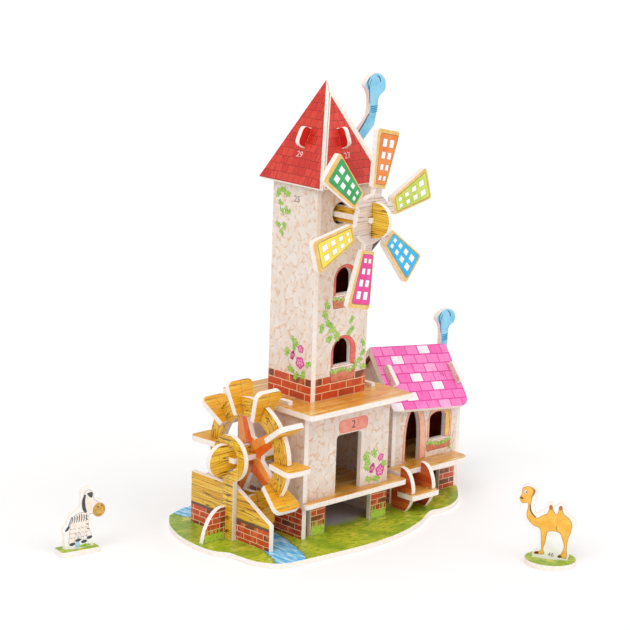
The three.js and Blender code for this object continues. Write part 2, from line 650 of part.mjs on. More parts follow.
function gable(name, x, room) {
  const outline = polygon([[ANNEX.front, T], [ANNEX.back, T], [ANNEX.back, 80], [ANNEX.front, 80]]);
  const wall = board('side', outline, x).intersect(room);
  return piece(name, wall.add(gableTab(x, 1, 0)).add(gableTab(x, -1, 0)), COLOURS.stucco);
}

function annexFront(room) {
  const outline = new THREE.Shape();
  outline.moveTo(ANNEX_WALL_X0, T);
  outline.lineTo(ANNEX_LEGS[0].x1, T);
  outline.lineTo(ANNEX_LEGS[0].x1, ANNEX.floor);
  outline.lineTo(ANNEX_LEGS[1].x0, ANNEX.floor);
  outline.lineTo(ANNEX_LEGS[1].x0, T);
  outline.lineTo(ANNEX_WALL_X1, T);
  outline.lineTo(ANNEX_WALL_X1, 60);
  outline.lineTo(ANNEX_WALL_X0, 60);
  const mid = ANNEX.front + T / 2;
  const wall = board('front', outline, mid).intersect(room);
  const doorway = arch(ANNEX_DOOR.x0, ANNEX_DOOR.x1, ANNEX.floor - 1, ANNEX_DOOR.top, ANNEX_DOOR.rise);
  const door = board('front', doorway, mid, 3 * T);
  const { x0, x1, sill, top, rise } = ANNEX_WINDOW;
  const light = board('front', arch(x0, x1, sill, top, rise), mid, 3 * T);
  return piece('annex_front_wall', cut(wall, door, light), COLOURS.stucco);
}

function annexBack(room) {
  const outline = polygon([
    [ANNEX_WALL_X0, T], [ANNEX_WALL_X1, T], [ANNEX_WALL_X1, 60], [ANNEX_WALL_X0, 60],
  ]);
  const wall = board('front', outline, ANNEX.back - T / 2);
  return piece('annex_back_wall', wall.intersect(room), COLOURS.stucco);
}

function annexFloor() {
  const stairFront = -16.5;
  const porchFront = -18.8;
  const left = STRINGER_X[0] - T / 2 - 0.6;
  const stairEnd = STRINGER_X[1] + T;
  const right = 74;
  const outline = new THREE.Shape();
  outline.moveTo(left, stairFront);
  outline.lineTo(stairEnd, stairFront);
  outline.lineTo(stairEnd, porchFront);
  outline.lineTo(right - 6, porchFront);
  outline.quadraticCurveTo(right, porchFront, right, porchFront + 5.4);
  outline.lineTo(right, ANNEX.front - GAP);
  outline.lineTo(ANNEX_WALL_X1, ANNEX.front - GAP);
  outline.lineTo(ANNEX_WALL_X1, ANNEX.back - T);
  outline.lineTo(ANNEX_WALL_X0, ANNEX.back - T);
  outline.lineTo(ANNEX_WALL_X0, ANNEX.front - GAP);
  outline.lineTo(left, ANNEX.front - GAP);
  outline.closePath();
  const floor = board('flat', outline, ANNEX.floor - T / 2);
  const legs = ANNEX_LEGS.map(({ x0, x1 }) => slot(x0, x1, ANNEX.front, ANNEX.front + T, 0, ANNEX.floor));
  return piece('annex_floor', cut(floor, ...legs), COLOURS.wood);
}

function annexRoof(room, pipe) {
  const { half, length } = ANNEX_ROOF;
  const tabs = STRINGER_GABLES.flatMap((x) => [gableTab(x, 1, GAP), gableTab(x, -1, GAP)]);
  return [-1, 1].map((side) => {
    const outline = roundedBox(-half, -length, half, 0, [6, 6, 0, 0]);
    let panel = slab(annexSlope(side), outline, -T, 0);
    const [y0, y1] = side < 0 ? [-GAP / 2, 60] : [-60, GAP / 2];
    const otherHalf = moved(block(-60, 60, y0, y1, -60, 60), annexRoofFrame);
    panel = cut(panel, otherHalf, ...tabs);
    if (side > 0) panel = cut(panel, pipe);
    return piece(side < 0 ? 'annex_roof_front' : 'annex_roof_back', panel, COLOURS.pink);
  });
}

const STRINGER_GABLES = [ANNEX.x0 + T / 2, ANNEX.x1 - T / 2]; // mid planes of the two gables

const STEP = { x0: 32.6, x1: 48.4, front: -25.5, back: -16, z: 9.2, halve: -20.8 };

function stringer(name, x) {
  const foot = -20;
  const head = ANNEX.floor + 2.4;
  const outline = new THREE.Shape();
  outline.moveTo(-12, T);
  outline.lineTo(-12, ANNEX.floor - T);
  outline.lineTo(-16.5 - GAP, ANNEX.floor - T);
  outline.lineTo(-16.5 - GAP, head);
  outline.quadraticCurveTo(-21.6, head, -23.4, head - 6.4);
  outline.quadraticCurveTo(-25, 8, foot, T);
  outline.closePath();
  const side = board('side', outline, x, T, 8);
  const notch = block(x - T, x + T, -40, STEP.halve + GAP / 2, STEP.z - T / 2 - GAP, STEP.z + T / 2 + GAP);
  return piece(name, cut(side, notch), COLOURS.wood);
}

function stairs() {
  const step = board('flat', roundedBox(STEP.x0, STEP.front, STEP.x1, STEP.back, 1), STEP.z);
  const notches = STRINGER_X.map((x) => block(
    x - T / 2 - GAP, x + T / 2 + GAP, STEP.halve - GAP / 2, STEP.back + 1, STEP.z - T, STEP.z + T));
  return [
    stringer('stair_left_side', STRINGER_X[0]),
    stringer('stair_right_side', STRINGER_X[1]),
    piece('stair_step', cut(step, ...notches), COLOURS.wood),
  ];
}

function annex(pipe) {
  const room = underAnnexRoof();
  return [
    gable('annex_left_gable', STRINGER_GABLES[0], room),
    gable('annex_right_gable', STRINGER_GABLES[1], room),
    annexFront(room),
    annexBack(room),
    annexFloor(),
    ...annexRoof(room, pipe),
    ...stairs(),
  ];
}

// ---- Animals ----------------------------------------------------------------------------------------------
const FIGURE_TAB = 3.4; // half length of the tab that each animal stands in its stand by

function smooth(points) {
  const shape = new THREE.Shape();
  shape.moveTo(...points[0]);
  shape.splineThru(points.slice(1).map(([u, v]) => new THREE.Vector2(u, v)));
  shape.closePath();
  return shape;
}

function figure(name, outline, colour) {
  const tab = polygon([[-FIGURE_TAB, 0], [FIGURE_TAB, 0], [FIGURE_TAB, T + 1], [-FIGURE_TAB, T + 1]]);
  return piece(name, board('front', outline, 0, T, 3).add(board('front', tab, 0)), colour);
}

function stand(name, outline) {
  const mouth = slot(-FIGURE_TAB, FIGURE_TAB, -T / 2, T / 2, -1, T);
  return piece(name, cut(board('flat', outline, T / 2, T, 12), mouth), COLOURS.grass);
}

// An animal on its stand, turned to face a little away from the house front.
function animal(name, outline, ground, place, turn, colour) {
  const group = new THREE.Group();
  group.position.set(...place, 0);
  group.rotation.z = degrees(turn);
  group.add(stand(`${name}_stand`, ground), figure(`${name}_figure`, outline, colour));
  return group;
}

function zebra() {
  const outline = smooth([
    [6.6, T], [6.9, 4.8], [6.3, 7], [5.6, 10], [5.2, 12.9], [5.9, 13.9], [7.4, 13.2], [9.7, 13.2],
    [11.3, 15.1], [11.7, 17.6], [10.6, 19.9], [8.3, 21], [7.2, 22.8], [6.5, 25.1], [4.5, 26.3],
    [1.9, 25.5], [1, 23.5], [1.2, 20], [0.4, 17.9], [-1.4, 17.1], [-3.8, 15.9], [-4.7, 13.2],
    [-6.1, 11.5], [-6.9, 10.2], [-6.2, 8.8], [-6, 5.9], [-5.9, T],
  ]);
  return animal('zebra', outline, roundedBox(-8.2, -3.7, 8.2, 3.7, 1.2), [-98.4, 28.5], -10, COLOURS.zebra);
}

function camel() {
  const outline = smooth([
    [6.9, T], [7.3, 5.5], [7.5, 8], [8, 11.1], [9.2, 14.3], [9.1, 17.9], [7.3, 20.3], [5.3, 22],
    [3.9, 24.8], [2.1, 24.7], [0.8, 23.5], [-0.7, 25.1], [-2.2, 24.3], [-3.3, 22], [-4.9, 20.8],
    [-6.6, 20], [-7.1, 22.8], [-6.5, 26.9], [-6.6, 29.8], [-8.8, 31.5], [-11.2, 31.1], [-12.9, 29.3],
    [-14.3, 26.7], [-14.3, 24.4], [-12.7, 22.9], [-11.5, 22.6], [-11.6, 19.3], [-10.6, 16.1],
    [-8.3, 14.2], [-6.1, 13.3], [-5.1, 11.2], [-4.8, 8.6], [-5.3, 5.8], [-6.9, 4.2], [-7.1, T],
  ]);
  const oval = new THREE.Shape();
  oval.absellipse(0, 0, 10.1, 9.3, 0, 2 * Math.PI, false, 0);
  return animal('camel', outline, oval, [38.1, -95.1], -56, COLOURS.camel);
}

// ---- Assembly ---------------------------------------------------------------------------------------------
const tallPipeSolid = tallPipe();
const shortPipeSolid = shortPipe();

const model = new THREE.Group();
model.add(
  basePlate(),
  ...lowerHouse(),
  ...tower(),
  ...towerRoof(slackAboutY(tallPipeSolid, TALL_PIPE.y)),
  piece('tall_pipe', tallPipeSolid, COLOURS.blue),
  rotor(),
  waterWheel(),
  ...wheelSupport(),
  ...annex(slackAboutY(shortPipeSolid, SHORT_PIPE.y)),
  piece('short_pipe', shortPipeSolid, COLOURS.blue),
  zebra(),
  camel(),
);

export default model;
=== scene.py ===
# %% [markdown]
# # A windmill house of printed foam board
# The model is a slot-together kit: flat boards of foam, each with a printed and lacquered paper on both
# faces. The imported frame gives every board's shape and place.

import json
import math
from random import Random

import bmesh
import bpy
from mathutils import Matrix, Vector

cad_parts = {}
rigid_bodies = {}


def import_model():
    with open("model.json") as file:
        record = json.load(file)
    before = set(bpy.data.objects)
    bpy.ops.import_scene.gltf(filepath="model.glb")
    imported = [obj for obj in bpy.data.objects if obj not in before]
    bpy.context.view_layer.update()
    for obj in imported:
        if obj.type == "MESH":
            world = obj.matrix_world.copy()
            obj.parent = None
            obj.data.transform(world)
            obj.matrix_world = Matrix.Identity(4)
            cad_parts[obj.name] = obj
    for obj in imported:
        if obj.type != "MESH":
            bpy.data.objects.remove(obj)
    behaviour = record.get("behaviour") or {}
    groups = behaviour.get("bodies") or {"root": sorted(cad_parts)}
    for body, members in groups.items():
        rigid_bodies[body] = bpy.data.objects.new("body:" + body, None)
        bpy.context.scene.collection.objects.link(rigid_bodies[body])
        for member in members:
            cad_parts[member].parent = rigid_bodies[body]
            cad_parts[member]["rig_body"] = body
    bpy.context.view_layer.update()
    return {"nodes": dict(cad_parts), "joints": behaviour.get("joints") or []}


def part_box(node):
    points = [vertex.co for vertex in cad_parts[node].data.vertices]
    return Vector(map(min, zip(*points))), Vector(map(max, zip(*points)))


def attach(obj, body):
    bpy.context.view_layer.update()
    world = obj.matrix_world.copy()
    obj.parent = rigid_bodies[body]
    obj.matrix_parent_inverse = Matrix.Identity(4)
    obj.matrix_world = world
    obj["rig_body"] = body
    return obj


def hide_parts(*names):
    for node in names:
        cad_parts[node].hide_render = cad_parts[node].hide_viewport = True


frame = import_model()
nodes = frame["nodes"]
MM = 0.001  # metres in a millimetre
X, Y, Z = Vector((1, 0, 0)), Vector((0, 1, 0)), Vector((0, 0, 1))

# %% [markdown]
# ## Camera
# A long lens from well in front keeps the upright edges nearly parallel. The camera stands to the left
# of the front door and a little above the deck, and leans very slightly, as a hand-held one does.

# %% Camera
AZIMUTH, ELEVATION, ROLL = -43.93, 13.42, 1.91  # degrees
AIM = Vector((-0.72, 1.39, 86.27)) * MM
DISTANCE, LENS, SENSOR = 889 * MM, 127.0, 36.0


def direction(azimuth, elevation):
    """The unit vector from the object towards a viewer there."""
    a, e = math.radians(azimuth), math.radians(elevation)
    return Vector((math.sin(a) * math.cos(e), -math.cos(a) * math.cos(e), math.sin(e)))


def aimed(name, data, away, target, distance, roll=0.0):
    """Links a camera or a light that looks at the target from that side."""
    right = Z.cross(away).normalized()
    upright = Matrix((right, away.cross(right), away)).transposed()
    turned = upright @ Matrix.Rotation(math.radians(roll), 3, "Z")
    item = bpy.data.objects.new(name, data)
    item.matrix_world = Matrix.Translation(target + away * distance) @ turned.to_4x4()
    bpy.context.scene.collection.objects.link(item)
    return item


lens = bpy.data.cameras.new("camera")
lens.lens, lens.sensor_width, lens.clip_start = LENS, SENSOR, 0.01
bpy.context.scene.camera = aimed("camera", lens, direction(AZIMUTH, ELEVATION), AIM, DISTANCE, ROLL)
print("camera at", [round(v / MM) for v in bpy.context.scene.camera.location], "mm")

# %% [markdown]
# ## Light and floor
# Product pictures of toys are lit evenly in a white room. Large soft boxes far away act like suns with a
# wide disc: their light is the same everywhere, so the whole paper sweep stays white, and their shadows
# are soft. The strongest stands high on the left, a weaker one on the right, and one hangs above.

# %% Light and floor
def soft_box(name, azimuth, elevation, width, strength):
    """A distant soft box: a sun as wide as that many degrees."""
    data = bpy.data.lights.new(name, "SUN")
    data.angle, data.energy = math.radians(width), strength
    return aimed(name, data, direction(azimuth, elevation), AIM, 1.1)


soft_box("key_light", -75, 44, 35, 0.78)
soft_box("fill_light", 20, 32, 50, 0.58)
soft_box("top_light", -20, 80, 60, 0.6)

room = bpy.data.worlds.new("white_room")
room.use_nodes = True
room.node_tree.nodes["Background"].inputs["Color"].default_value = (1.0, 0.998, 0.995, 1.0)
room.node_tree.nodes["Background"].inputs["Strength"].default_value = 0.62
bpy.context.scene.world = room
bpy.context.scene.view_settings.view_transform = "Standard"

# %% [markdown]
# ## One function that adds a node
# Every finish is a small tree of shader nodes. Colours are written as sRGB hex values, as a paint
# program shows them, and turned to the linear values that the renderer works with. `add` makes any
# node: it takes the settings as names and the inputs as values, colours or other nodes' outputs.

# %% Colours and nodes
def linear(colour):
    """The linear RGBA of an sRGB hex colour."""
    parts = [int(colour[i:i + 2], 16) / 255 for i in (0, 2, 4)]
    return (*[c / 12.92 if c <= 0.04045 else ((c + 0.055) / 1.055) ** 2.4 for c in parts], 1.0)


def add(material, kind, inputs=(), **settings):
    """Adds one shader node; inputs gives sockets a value, a hex colour or another node's output."""
    tree = material.node_tree
    made = tree.nodes.new("ShaderNode" + kind)
    for name, value in settings.items():
        setattr(made, name, value)
    for key, value in dict(inputs).items():
        if isinstance(value, bpy.types.NodeSocket):
            tree.links.new(value, made.inputs[key])
        else:
            made.inputs[key].default_value = linear(value) if isinstance(value, str) else value
    return made


def finish(name, pattern, roughness=0.42, coat=0.15, grain=0.0):
    """A new material: a pattern function gives the colour, and grain is the depth of a fine relief.

    Printed paper is lacquered, so it has a satin face under a thin coat that catches soft highlights.
    """
    material = bpy.data.materials.new(name)
    material.use_nodes = True
    material.node_tree.nodes.clear()
    shader = add(material, "BsdfPrincipled", {
        "Base Color": pattern(material), "Roughness": roughness, "IOR": 1.5,
        "Coat Weight": coat, "Coat Roughness": 0.22,
    })
    if grain:
        place = add(material, "TexCoord").outputs["Object"]
        relief = add(material, "TexNoise", {"Vector": place, "Scale": 1 / (0.45 * MM), "Detail": 3.0})
        bump = add(material, "Bump", {"Strength": 0.35, "Distance": grain * MM, "Height": relief.outputs[0]})
        material.node_tree.links.new(bump.outputs[0], shader.inputs["Normal"])
    add(material, "OutputMaterial", {"Surface": shader.outputs[0]})
    return material


# %% [markdown]
# ## Building blocks of a printed pattern
# The papers are drawn in flat inks. Each board gets a UV map called `print`, in millimetres on its own
# face, so a pattern's sizes are real sizes: a brick is 7.6 mm long because the UV map says so. Four
# small building blocks are enough: a change from one colour to another where some value rises, a brush
# that lays ink on in clouds, pen lines, and courses of bricks, tiles or planks.

# %% Building blocks
def on_paper(material, stretch=(1.0, 1.0, 1.0), turn=0.0, wobble=0.0, wobble_size=3.0):
    """Where we are on the paper in millimetres, stretched, turned, and wavering as a hand-drawn line."""
    place = add(material, "UVMap", uv_map="print").outputs[0]
    if wobble:
        drift = add(material, "TexNoise", {"Vector": place, "Scale": 1 / wobble_size, "Detail": 1.0})
        even = add(material, "VectorMath", {0: drift.outputs["Color"], 1: (0.5, 0.5, 0.5)},
                   operation="SUBTRACT")
        place = add(material, "VectorMath", {0: even.outputs[0], 1: (wobble, wobble, 0), 2: place},
                    operation="MULTIPLY_ADD").outputs[0]
    return add(material, "Mapping", {
        "Vector": place, "Rotation": (0, 0, math.radians(turn)), "Scale": stretch}).outputs[0]


def change(material, value, low, high, first, second, reach=1.0):
    """The first colour below low, the second above high; reach is how far the second takes over."""
    share = add(material, "MapRange", {
        "Value": value, "From Min": low, "From Max": high, "To Max": reach},
        interpolation_type="SMOOTHSTEP").outputs[0]
    return add(material, "Mix", {0: share, 6: first, 7: second}, data_type="RGBA").outputs[2]


def brushed(material, body, over, place, size, low, high, reach=1.0, detail=3.0):
    """Lays a second ink over the body in clouds about that many millimetres across."""
    cloud = add(material, "TexNoise", {"Vector": place, "Scale": 1 / size, "Detail": detail})
    return change(material, cloud.outputs[0], low, high, body, over, reach)


def penned(material, body, line, place, width, reach, detail=0.6):
    """Pen lines along the places where a noise passes through its middle value."""
    grain = add(material, "TexNoise", {"Vector": place, "Scale": 1.0, "Detail": detail})
    off = add(material, "Math", {0: grain.outputs[0], 1: 0.5}, operation="SUBTRACT")
    near = add(material, "Math", {0: off.outputs[0]}, operation="ABSOLUTE")
    return change(material, near.outputs[0], width, width / 3, body, line, reach)


def courses(material, place, unit, tones, joint_colour, brush=None, offset=0.5):
    """Rows of bricks, tiles or planks, each of its own tone; brush may paint over them under the joints."""
    rows = add(material, "TexBrick", {
        "Vector": place, "Color1": "000000", "Color2": "FFFFFF", "Mortar": "808080", "Scale": 1.0,
        "Mortar Size": unit["joint"], "Mortar Smooth": unit["soft"], "Bias": 0.0,
        "Brick Width": unit["width"], "Row Height": unit["height"]}, offset=offset)
    body = change(material, rows.outputs["Color"], 0.1, 0.75, *tones)
    if brush:
        body = brush(body)
    drawn = add(material, "Mix", {0: rows.outputs["Fac"], 6: body, 7: joint_colour}, data_type="RGBA")
    return drawn.outputs[2]


# %% The floor
def floor_colour(material):
    """Matt white paper, very slightly uneven."""
    place = add(material, "TexCoord").outputs["Object"]
    return brushed(material, "FDFDFD", "FBFBFB", place, 0.2, 0.4, 0.6)


floor_mesh = bmesh.new()
bmesh.ops.create_grid(floor_mesh, x_segments=1, y_segments=1, size=6.0)
floor_data = bpy.data.meshes.new("floor")
floor_mesh.to_mesh(floor_data)
floor = bpy.data.objects.new("floor", floor_data)
floor_data.materials.append(finish("matt_paper_sweep", floor_colour, roughness=0.9, coat=0.0))
bpy.context.scene.collection.objects.link(floor)

# %% [markdown]
# ## Bricks and stucco
# The walls are printed as rough pale stucco with curved strokes of the trowel, above a band of red
# bricks with light joints. One material draws both: it changes over where the UV map's height is zero,
# and some bricks of the top row are missing, as on the drawing.

# %% Bricks and stucco
LEG_BRICK = {"width": 7.6, "height": 2.33, "joint": 0.17, "soft": 0.3}
TOWER_BRICK = {"width": 9.0, "height": 3.1, "joint": 0.2, "soft": 0.3}


def brick_colour(material, unit=LEG_BRICK):
    """Bricks from brown to orange-red, brushed with a lighter and a darker red."""
    def brush(body):
        warm = brushed(material, body, "E2713F", on_paper(material), 5.0, 0.55, 0.62, 0.65, 1.0)
        return brushed(material, warm, "9E2C0C", on_paper(material, (0.35, 1.6, 1)), 1.1, 0.45, 0.75, 0.45)
    return courses(material, on_paper(material, wobble=0.35), unit, ("7A3A20", "D4491E"), "F6CFA8", brush)


def stucco_colour(material):
    """Cream with cloudy patches, and the soft curved strokes that the trowel left."""
    body = brushed(material, "E6D6CA", "EFE4DB", on_paper(material), 5.0, 0.3, 0.7, detail=4.0)
    body = brushed(material, body, "EED4B8", on_paper(material, (1, 0.6, 1)), 2.6, 0.5, 0.7, 0.7)
    cells = add(material, "TexVoronoi", {
        "Vector": on_paper(material, (1.3, 0.85, 1), wobble=5.0, wobble_size=4.5), "Scale": 1 / 4.4},
        feature="DISTANCE_TO_EDGE")
    stroke = change(material, cells.outputs["Distance"], 0.1, 0.02, body, "DDB28E", 0.8)
    gaps = add(material, "TexNoise", {"Vector": on_paper(material), "Scale": 1 / 2.4, "Detail": 1.0})
    return change(material, gaps.outputs[0], 0.4, 0.6, body, stroke)


def wall_colour(unit):
    """Stucco above height zero, bricks below it, with some bricks of the top row left out."""
    def pattern(material):
        place = on_paper(material)
        height = add(material, "SeparateXYZ", {0: place}).outputs[1]
        rows = add(material, "TexBrick", {
            "Vector": place, "Color1": "000000", "Color2": "FFFFFF", "Mortar": "808080", "Scale": 1.0,
            "Mortar Size": 0.0, "Brick Width": unit["width"], "Row Height": unit["height"]})
        missing = add(material, "MapRange", {
            "Value": rows.outputs["Color"], "From Min": 0.62, "From Max": 0.66, "To Max": unit["height"]})
        edge = add(material, "Math", {0: height, 1: missing.outputs[0]}, operation="ADD").outputs[0]
        return change(material, edge, -0.05, 0.05, brick_colour(material, unit), stucco_colour(material))
    return pattern


STUCCO = finish("stucco_and_brick_print", wall_colour(LEG_BRICK), roughness=0.46)
TOWER_STUCCO = finish("tower_stucco_and_brick_print", wall_colour(TOWER_BRICK), roughness=0.46)
ROOM = finish("stucco_inside_print", stucco_colour, roughness=0.5)
BRICKS = finish("brick_print", brick_colour, roughness=0.42)
print("walls:", STUCCO.name, "and", BRICKS.name)

# %% [markdown]
# ## Planks
# Floors, posts and axles are drawn as planks. The deck's are a warm orange with long soft streaks; the
# water wheel's are yellow with dark pen lines. The grain is noise stretched along the plank, and the
# pen lines are the places where a second, longer noise passes through its middle value.

# %% Planks
def plank_colour(light, dark, line, height=4.2, pen=0.5, turn=0.0):
    """A pattern of planks along U, or along V with a turn of 90 degrees."""
    def pattern(material):
        def brush(body):
            streaks = on_paper(material, (0.07, 0.9, 1), turn)
            body = brushed(material, body, dark, streaks, 1.0, 0.36, 0.64, 0.9)
            gleams = on_paper(material, (0.04, 0.35, 1), turn)
            body = brushed(material, body, light, gleams, 1.0, 0.52, 0.68, 0.8)
            fibres = on_paper(material, (0.035, 0.85, 1), turn, 0.5)
            return penned(material, body, line, fibres, 0.026, pen)
        unit = {"width": 46.0, "height": height, "joint": 0.07, "soft": 0.4}
        place = on_paper(material, turn=turn, wobble=0.5, wobble_size=9.0)
        return courses(material, place, unit, (light, dark), line, brush, offset=0.37)
    return pattern


DECK = finish("orange_plank_print", plank_colour("FFDC84", "EAA636", "9A5210", pen=0.6),
              roughness=0.3, coat=0.5)
YELLOW = finish("yellow_plank_print", plank_colour("F9D044", "E6AC1A", "6E4206", height=3.0, pen=0.9))
YELLOW_UP = finish("yellow_plank_upright_print",
                   plank_colour("F9D044", "E6AC1A", "6E4206", height=3.0, pen=0.9, turn=90))
PADDLE = finish("orange_paddle_print",
                plank_colour("FFD24C", "F3AE1E", "8A4E06", height=9.0, pen=0.6, turn=90))
STAIR = finish("red_brown_plank_print", plank_colour("E07A34", "C2501C", "7E2A0C", height=3.2, pen=0.4))


def plank_wall_colour(material):
    """Yellow planks, a dark sill line at height zero, and bricks below."""
    height = add(material, "SeparateXYZ", {0: on_paper(material, wobble=0.6)}).outputs[1]
    planks = plank_colour("F7CC46", "E2A61C", "6E4206", height=2.6, pen=0.9)(material)
    both = change(material, height, -0.1, 0.1, brick_colour(material), planks)
    away = add(material, "Math", {0: height}, operation="ABSOLUTE").outputs[0]
    return change(material, away, 0.75, 0.45, both, "6A4A2C")


PLANK_WALL = finish("plank_above_brick_print", plank_wall_colour)

# %% [markdown]
# ## Tiles
# Both roofs are printed in rows of tiles. The tower's are small and red with thin wavering joints; the
# annex has bigger pink ones with broad rose joints that fade into the tile.

# %% Tiles
RED_TILE = {"width": 3.3, "height": 3.3, "joint": 0.12, "soft": 0.6}
PINK_TILE = {"width": 7.2, "height": 4.25, "joint": 0.34, "soft": 0.6}


def red_tile_colour(material):
    """Small red tiles, darker in streaks that run down the slope."""
    def brush(body):
        body = brushed(material, body, "F0604A", on_paper(material, (1.4, 0.3, 1)), 1.4, 0.52, 0.7, 0.45)
        shade = on_paper(material, (1.3, 0.25, 1), 0, 0.4)
        return brushed(material, body, "C41C14", shade, 1.2, 0.5, 0.7, 0.75)
    place = on_paper(material, wobble=0.9, wobble_size=4.0)
    return courses(material, place, RED_TILE, ("D02A1C", "E03E2C"), "7E1C12", brush)


def pink_tile_colour(material):
    """Bigger pink tiles with rose joints."""
    def brush(body):
        return brushed(material, body, "F552AA", on_paper(material, (0.8, 0.5, 1)), 2.0, 0.5, 0.7, 0.5)
    place = on_paper(material, wobble=0.5, wobble_size=4.0)
    return courses(material, place, PINK_TILE, ("F768B6", "FC86C8"), "E22E98", brush)


RED_TILES = finish("red_tile_print", red_tile_colour, roughness=0.4)
PINK_TILES = finish("pink_tile_print", pink_tile_colour, roughness=0.4)


# %% [markdown]
# ## Plain papers, insides and the foam
# The rest of the boards are printed in one colour, laid on a little unevenly. The core is polystyrene
# foam: matt, pale and finely grained where the die has cut it, so it gets a relief and no lacquer.

# %% Plain and brushed inks
def ink(name, light, dark, size=3.0, **more):
    """A lacquered ink of one colour with soft brushed patches of a second one."""
    def pattern(material):
        place = add(material, "TexCoord").outputs["Object"]
        return brushed(material, light, dark, place, size * MM, 0.35, 0.65)
    return finish(name, pattern, **more)


FOAM = ink("foam_board_core", "FAF2EA", "F5E8DE", 1.2, roughness=0.75, coat=0.0, grain=0.1)
RED = ink("red_tab_print", "DC2018", "C4120E")
INSIDE = ink("brown_inside_print", "9A3E1E", "701E0C", 6.0)


def annex_inside_colour(material):
    """Brown up to the eaves, and stucco above them, where tabs come out through the roof."""
    height = add(material, "SeparateXYZ", {0: on_paper(material)}).outputs[1]
    place = add(material, "TexCoord").outputs["Object"]
    brown = brushed(material, "9A3E1E", "701E0C", place, 6 * MM, 0.35, 0.65)
    return change(material, height, 29.0, 29.4, brown, stucco_colour(material))


ANNEX_INSIDE = finish("annex_inside_print", annex_inside_colour)
BLUE = ink("pale_blue_print", "92D4F0", "74C4E8", 4.0)
WHITE = ink("white_card_print", "FBF9F6", "F3F0EC", 4.0)

# %% [markdown]
# ## Grass and river
# The base board is painted in watercolour: yellow-green grass with darker blades, and a blue river that
# runs under the water wheel from the back to the front. The river is the part of the board within a
# few millimetres of a curve, and noise frays its banks.

# %% Grass and river
def grass_colour(material):
    """Watercolour washes of yellow-green, with darker blades brushed over them."""
    body = brushed(material, "C4CC30", "94B020", on_paper(material), 16.0, 0.38, 0.6, detail=2.0)
    blades = on_paper(material, (0.5, 1.4, 1), 20)
    body = brushed(material, body, "5E8A14", blades, 1.6, 0.46, 0.68, 0.8, detail=4.0)
    return brushed(material, body, "EBDC5A", on_paper(material, (0.6, 1, 1), 10), 7.0, 0.56, 0.7, 0.7)


HOUSE_SHADE = {"x": 4.0, "y": 7.0, "wide": 27.0, "deep": 21.0}  # the oval of painted shade under the house
RIVER = {"x": -32.0, "straight": 10.0, "bend": 0.0058, "half": 7.0}


def base_colour(material):
    """Grass, a grey oval of painted shade under the house, and the river between dark banks."""
    ragged = on_paper(material, wobble=3.2, wobble_size=3.0)
    across, along = add(material, "SeparateXYZ", {0: ragged}).outputs[:2]
    past = add(material, "Math", {0: along, 1: RIVER["straight"]}, operation="SUBTRACT")
    square = add(material, "Math", {0: past.outputs[0], 1: past.outputs[0]}, operation="MULTIPLY")
    swing = add(material, "Math", {0: square.outputs[0], 1: RIVER["bend"], 2: -RIVER["x"]},
                operation="MULTIPLY_ADD")
    offset = add(material, "Math", {0: across, 1: swing.outputs[0]}, operation="ADD")
    away = add(material, "Math", {0: offset.outputs[0]}, operation="ABSOLUTE").outputs[0]
    flow = add(material, "TexNoise", {
        "Vector": on_paper(material, (1.1, 0.28, 1), -12, 2.0), "Scale": 1 / 1.6, "Detail": 3.0}).outputs[0]
    water = change(material, flow, 0.4, 0.62, "46B4EC", "B4E4FA")
    water = change(material, flow, 0.62, 0.7, water, "E6F6FC")
    half = RIVER["half"]
    grass = grass_colour(material)
    # Painted shade: the grass turns pale grey in an oval under the house, where the house shadows the base.
    from_shade_middle = add(material, "VectorMath", {
        0: on_paper(material, wobble=3.0), 1: (HOUSE_SHADE["x"], HOUSE_SHADE["y"], 0)}, operation="SUBTRACT")
    oval = add(material, "VectorMath", {
        0: from_shade_middle.outputs[0], 1: (1 / HOUSE_SHADE["wide"], 1 / HOUSE_SHADE["deep"], 0)}, operation="MULTIPLY")
    reach = add(material, "VectorMath", {0: oval.outputs[0]}, operation="LENGTH").outputs["Value"]
    grass = change(material, reach, 0.85, 1.15, "C9CDD2", grass)
    bank = change(material, away, half + 1.3, half + 0.4, grass, "6B6A1E", 0.7)
    return change(material, away, half + 0.25, half - 0.25, bank, water)


GRASS = finish("grass_print", grass_colour)
BASE = finish("grass_and_river_print", base_colour)

# %% [markdown]
# ## Wheels
# The sail wheel's hub is drawn as pale planks and its blades have a tan border. The water wheel's rim is
# yellow planks that bend round it, and its five spokes are orange, each with a light and a dark half.
# Both change over with the distance from the middle, so these patterns start from polar coordinates.

# %% Wheels
def polar(material):
    """(distance from the UV map's zero, angle in turns)."""
    place = on_paper(material)
    radius = add(material, "VectorMath", {0: place}, operation="LENGTH").outputs["Value"]
    u, v = add(material, "SeparateXYZ", {0: place}).outputs[:2]
    angle = add(material, "Math", {0: v, 1: u}, operation="ARCTAN2").outputs[0]
    return radius, add(material, "Math", {0: angle, 1: 1 / math.tau}, operation="MULTIPLY").outputs[0]


def sail_colour(material):
    """Pale planks on the hub, tan beyond it."""
    radius, _ = polar(material)
    hub = plank_colour("E9DACF", "DBC7BB", "8A6A55", height=5.5, pen=0.7)(material)
    tan = brushed(material, "EFC878", "E6B860", on_paper(material), 3.0, 0.4, 0.6)
    return change(material, radius, 12.4, 12.7, hub, tan)


def rim_colour(material, radius, turns):
    """Planks that follow the rim: the angle gives the way along, the radius the way across."""
    along = add(material, "Math", {0: turns, 1: 19.0}, operation="MULTIPLY").outputs[0]
    across = add(material, "Math", {0: radius, 1: 0.8}, operation="MULTIPLY").outputs[0]
    place = add(material, "CombineXYZ", {0: along, 1: across}).outputs[0]
    body = brushed(material, "F0C23A", "DFA41A", place, 1.0, 0.35, 0.65)
    return penned(material, body, "6E430A", place, 0.035, 0.85, detail=1.0)


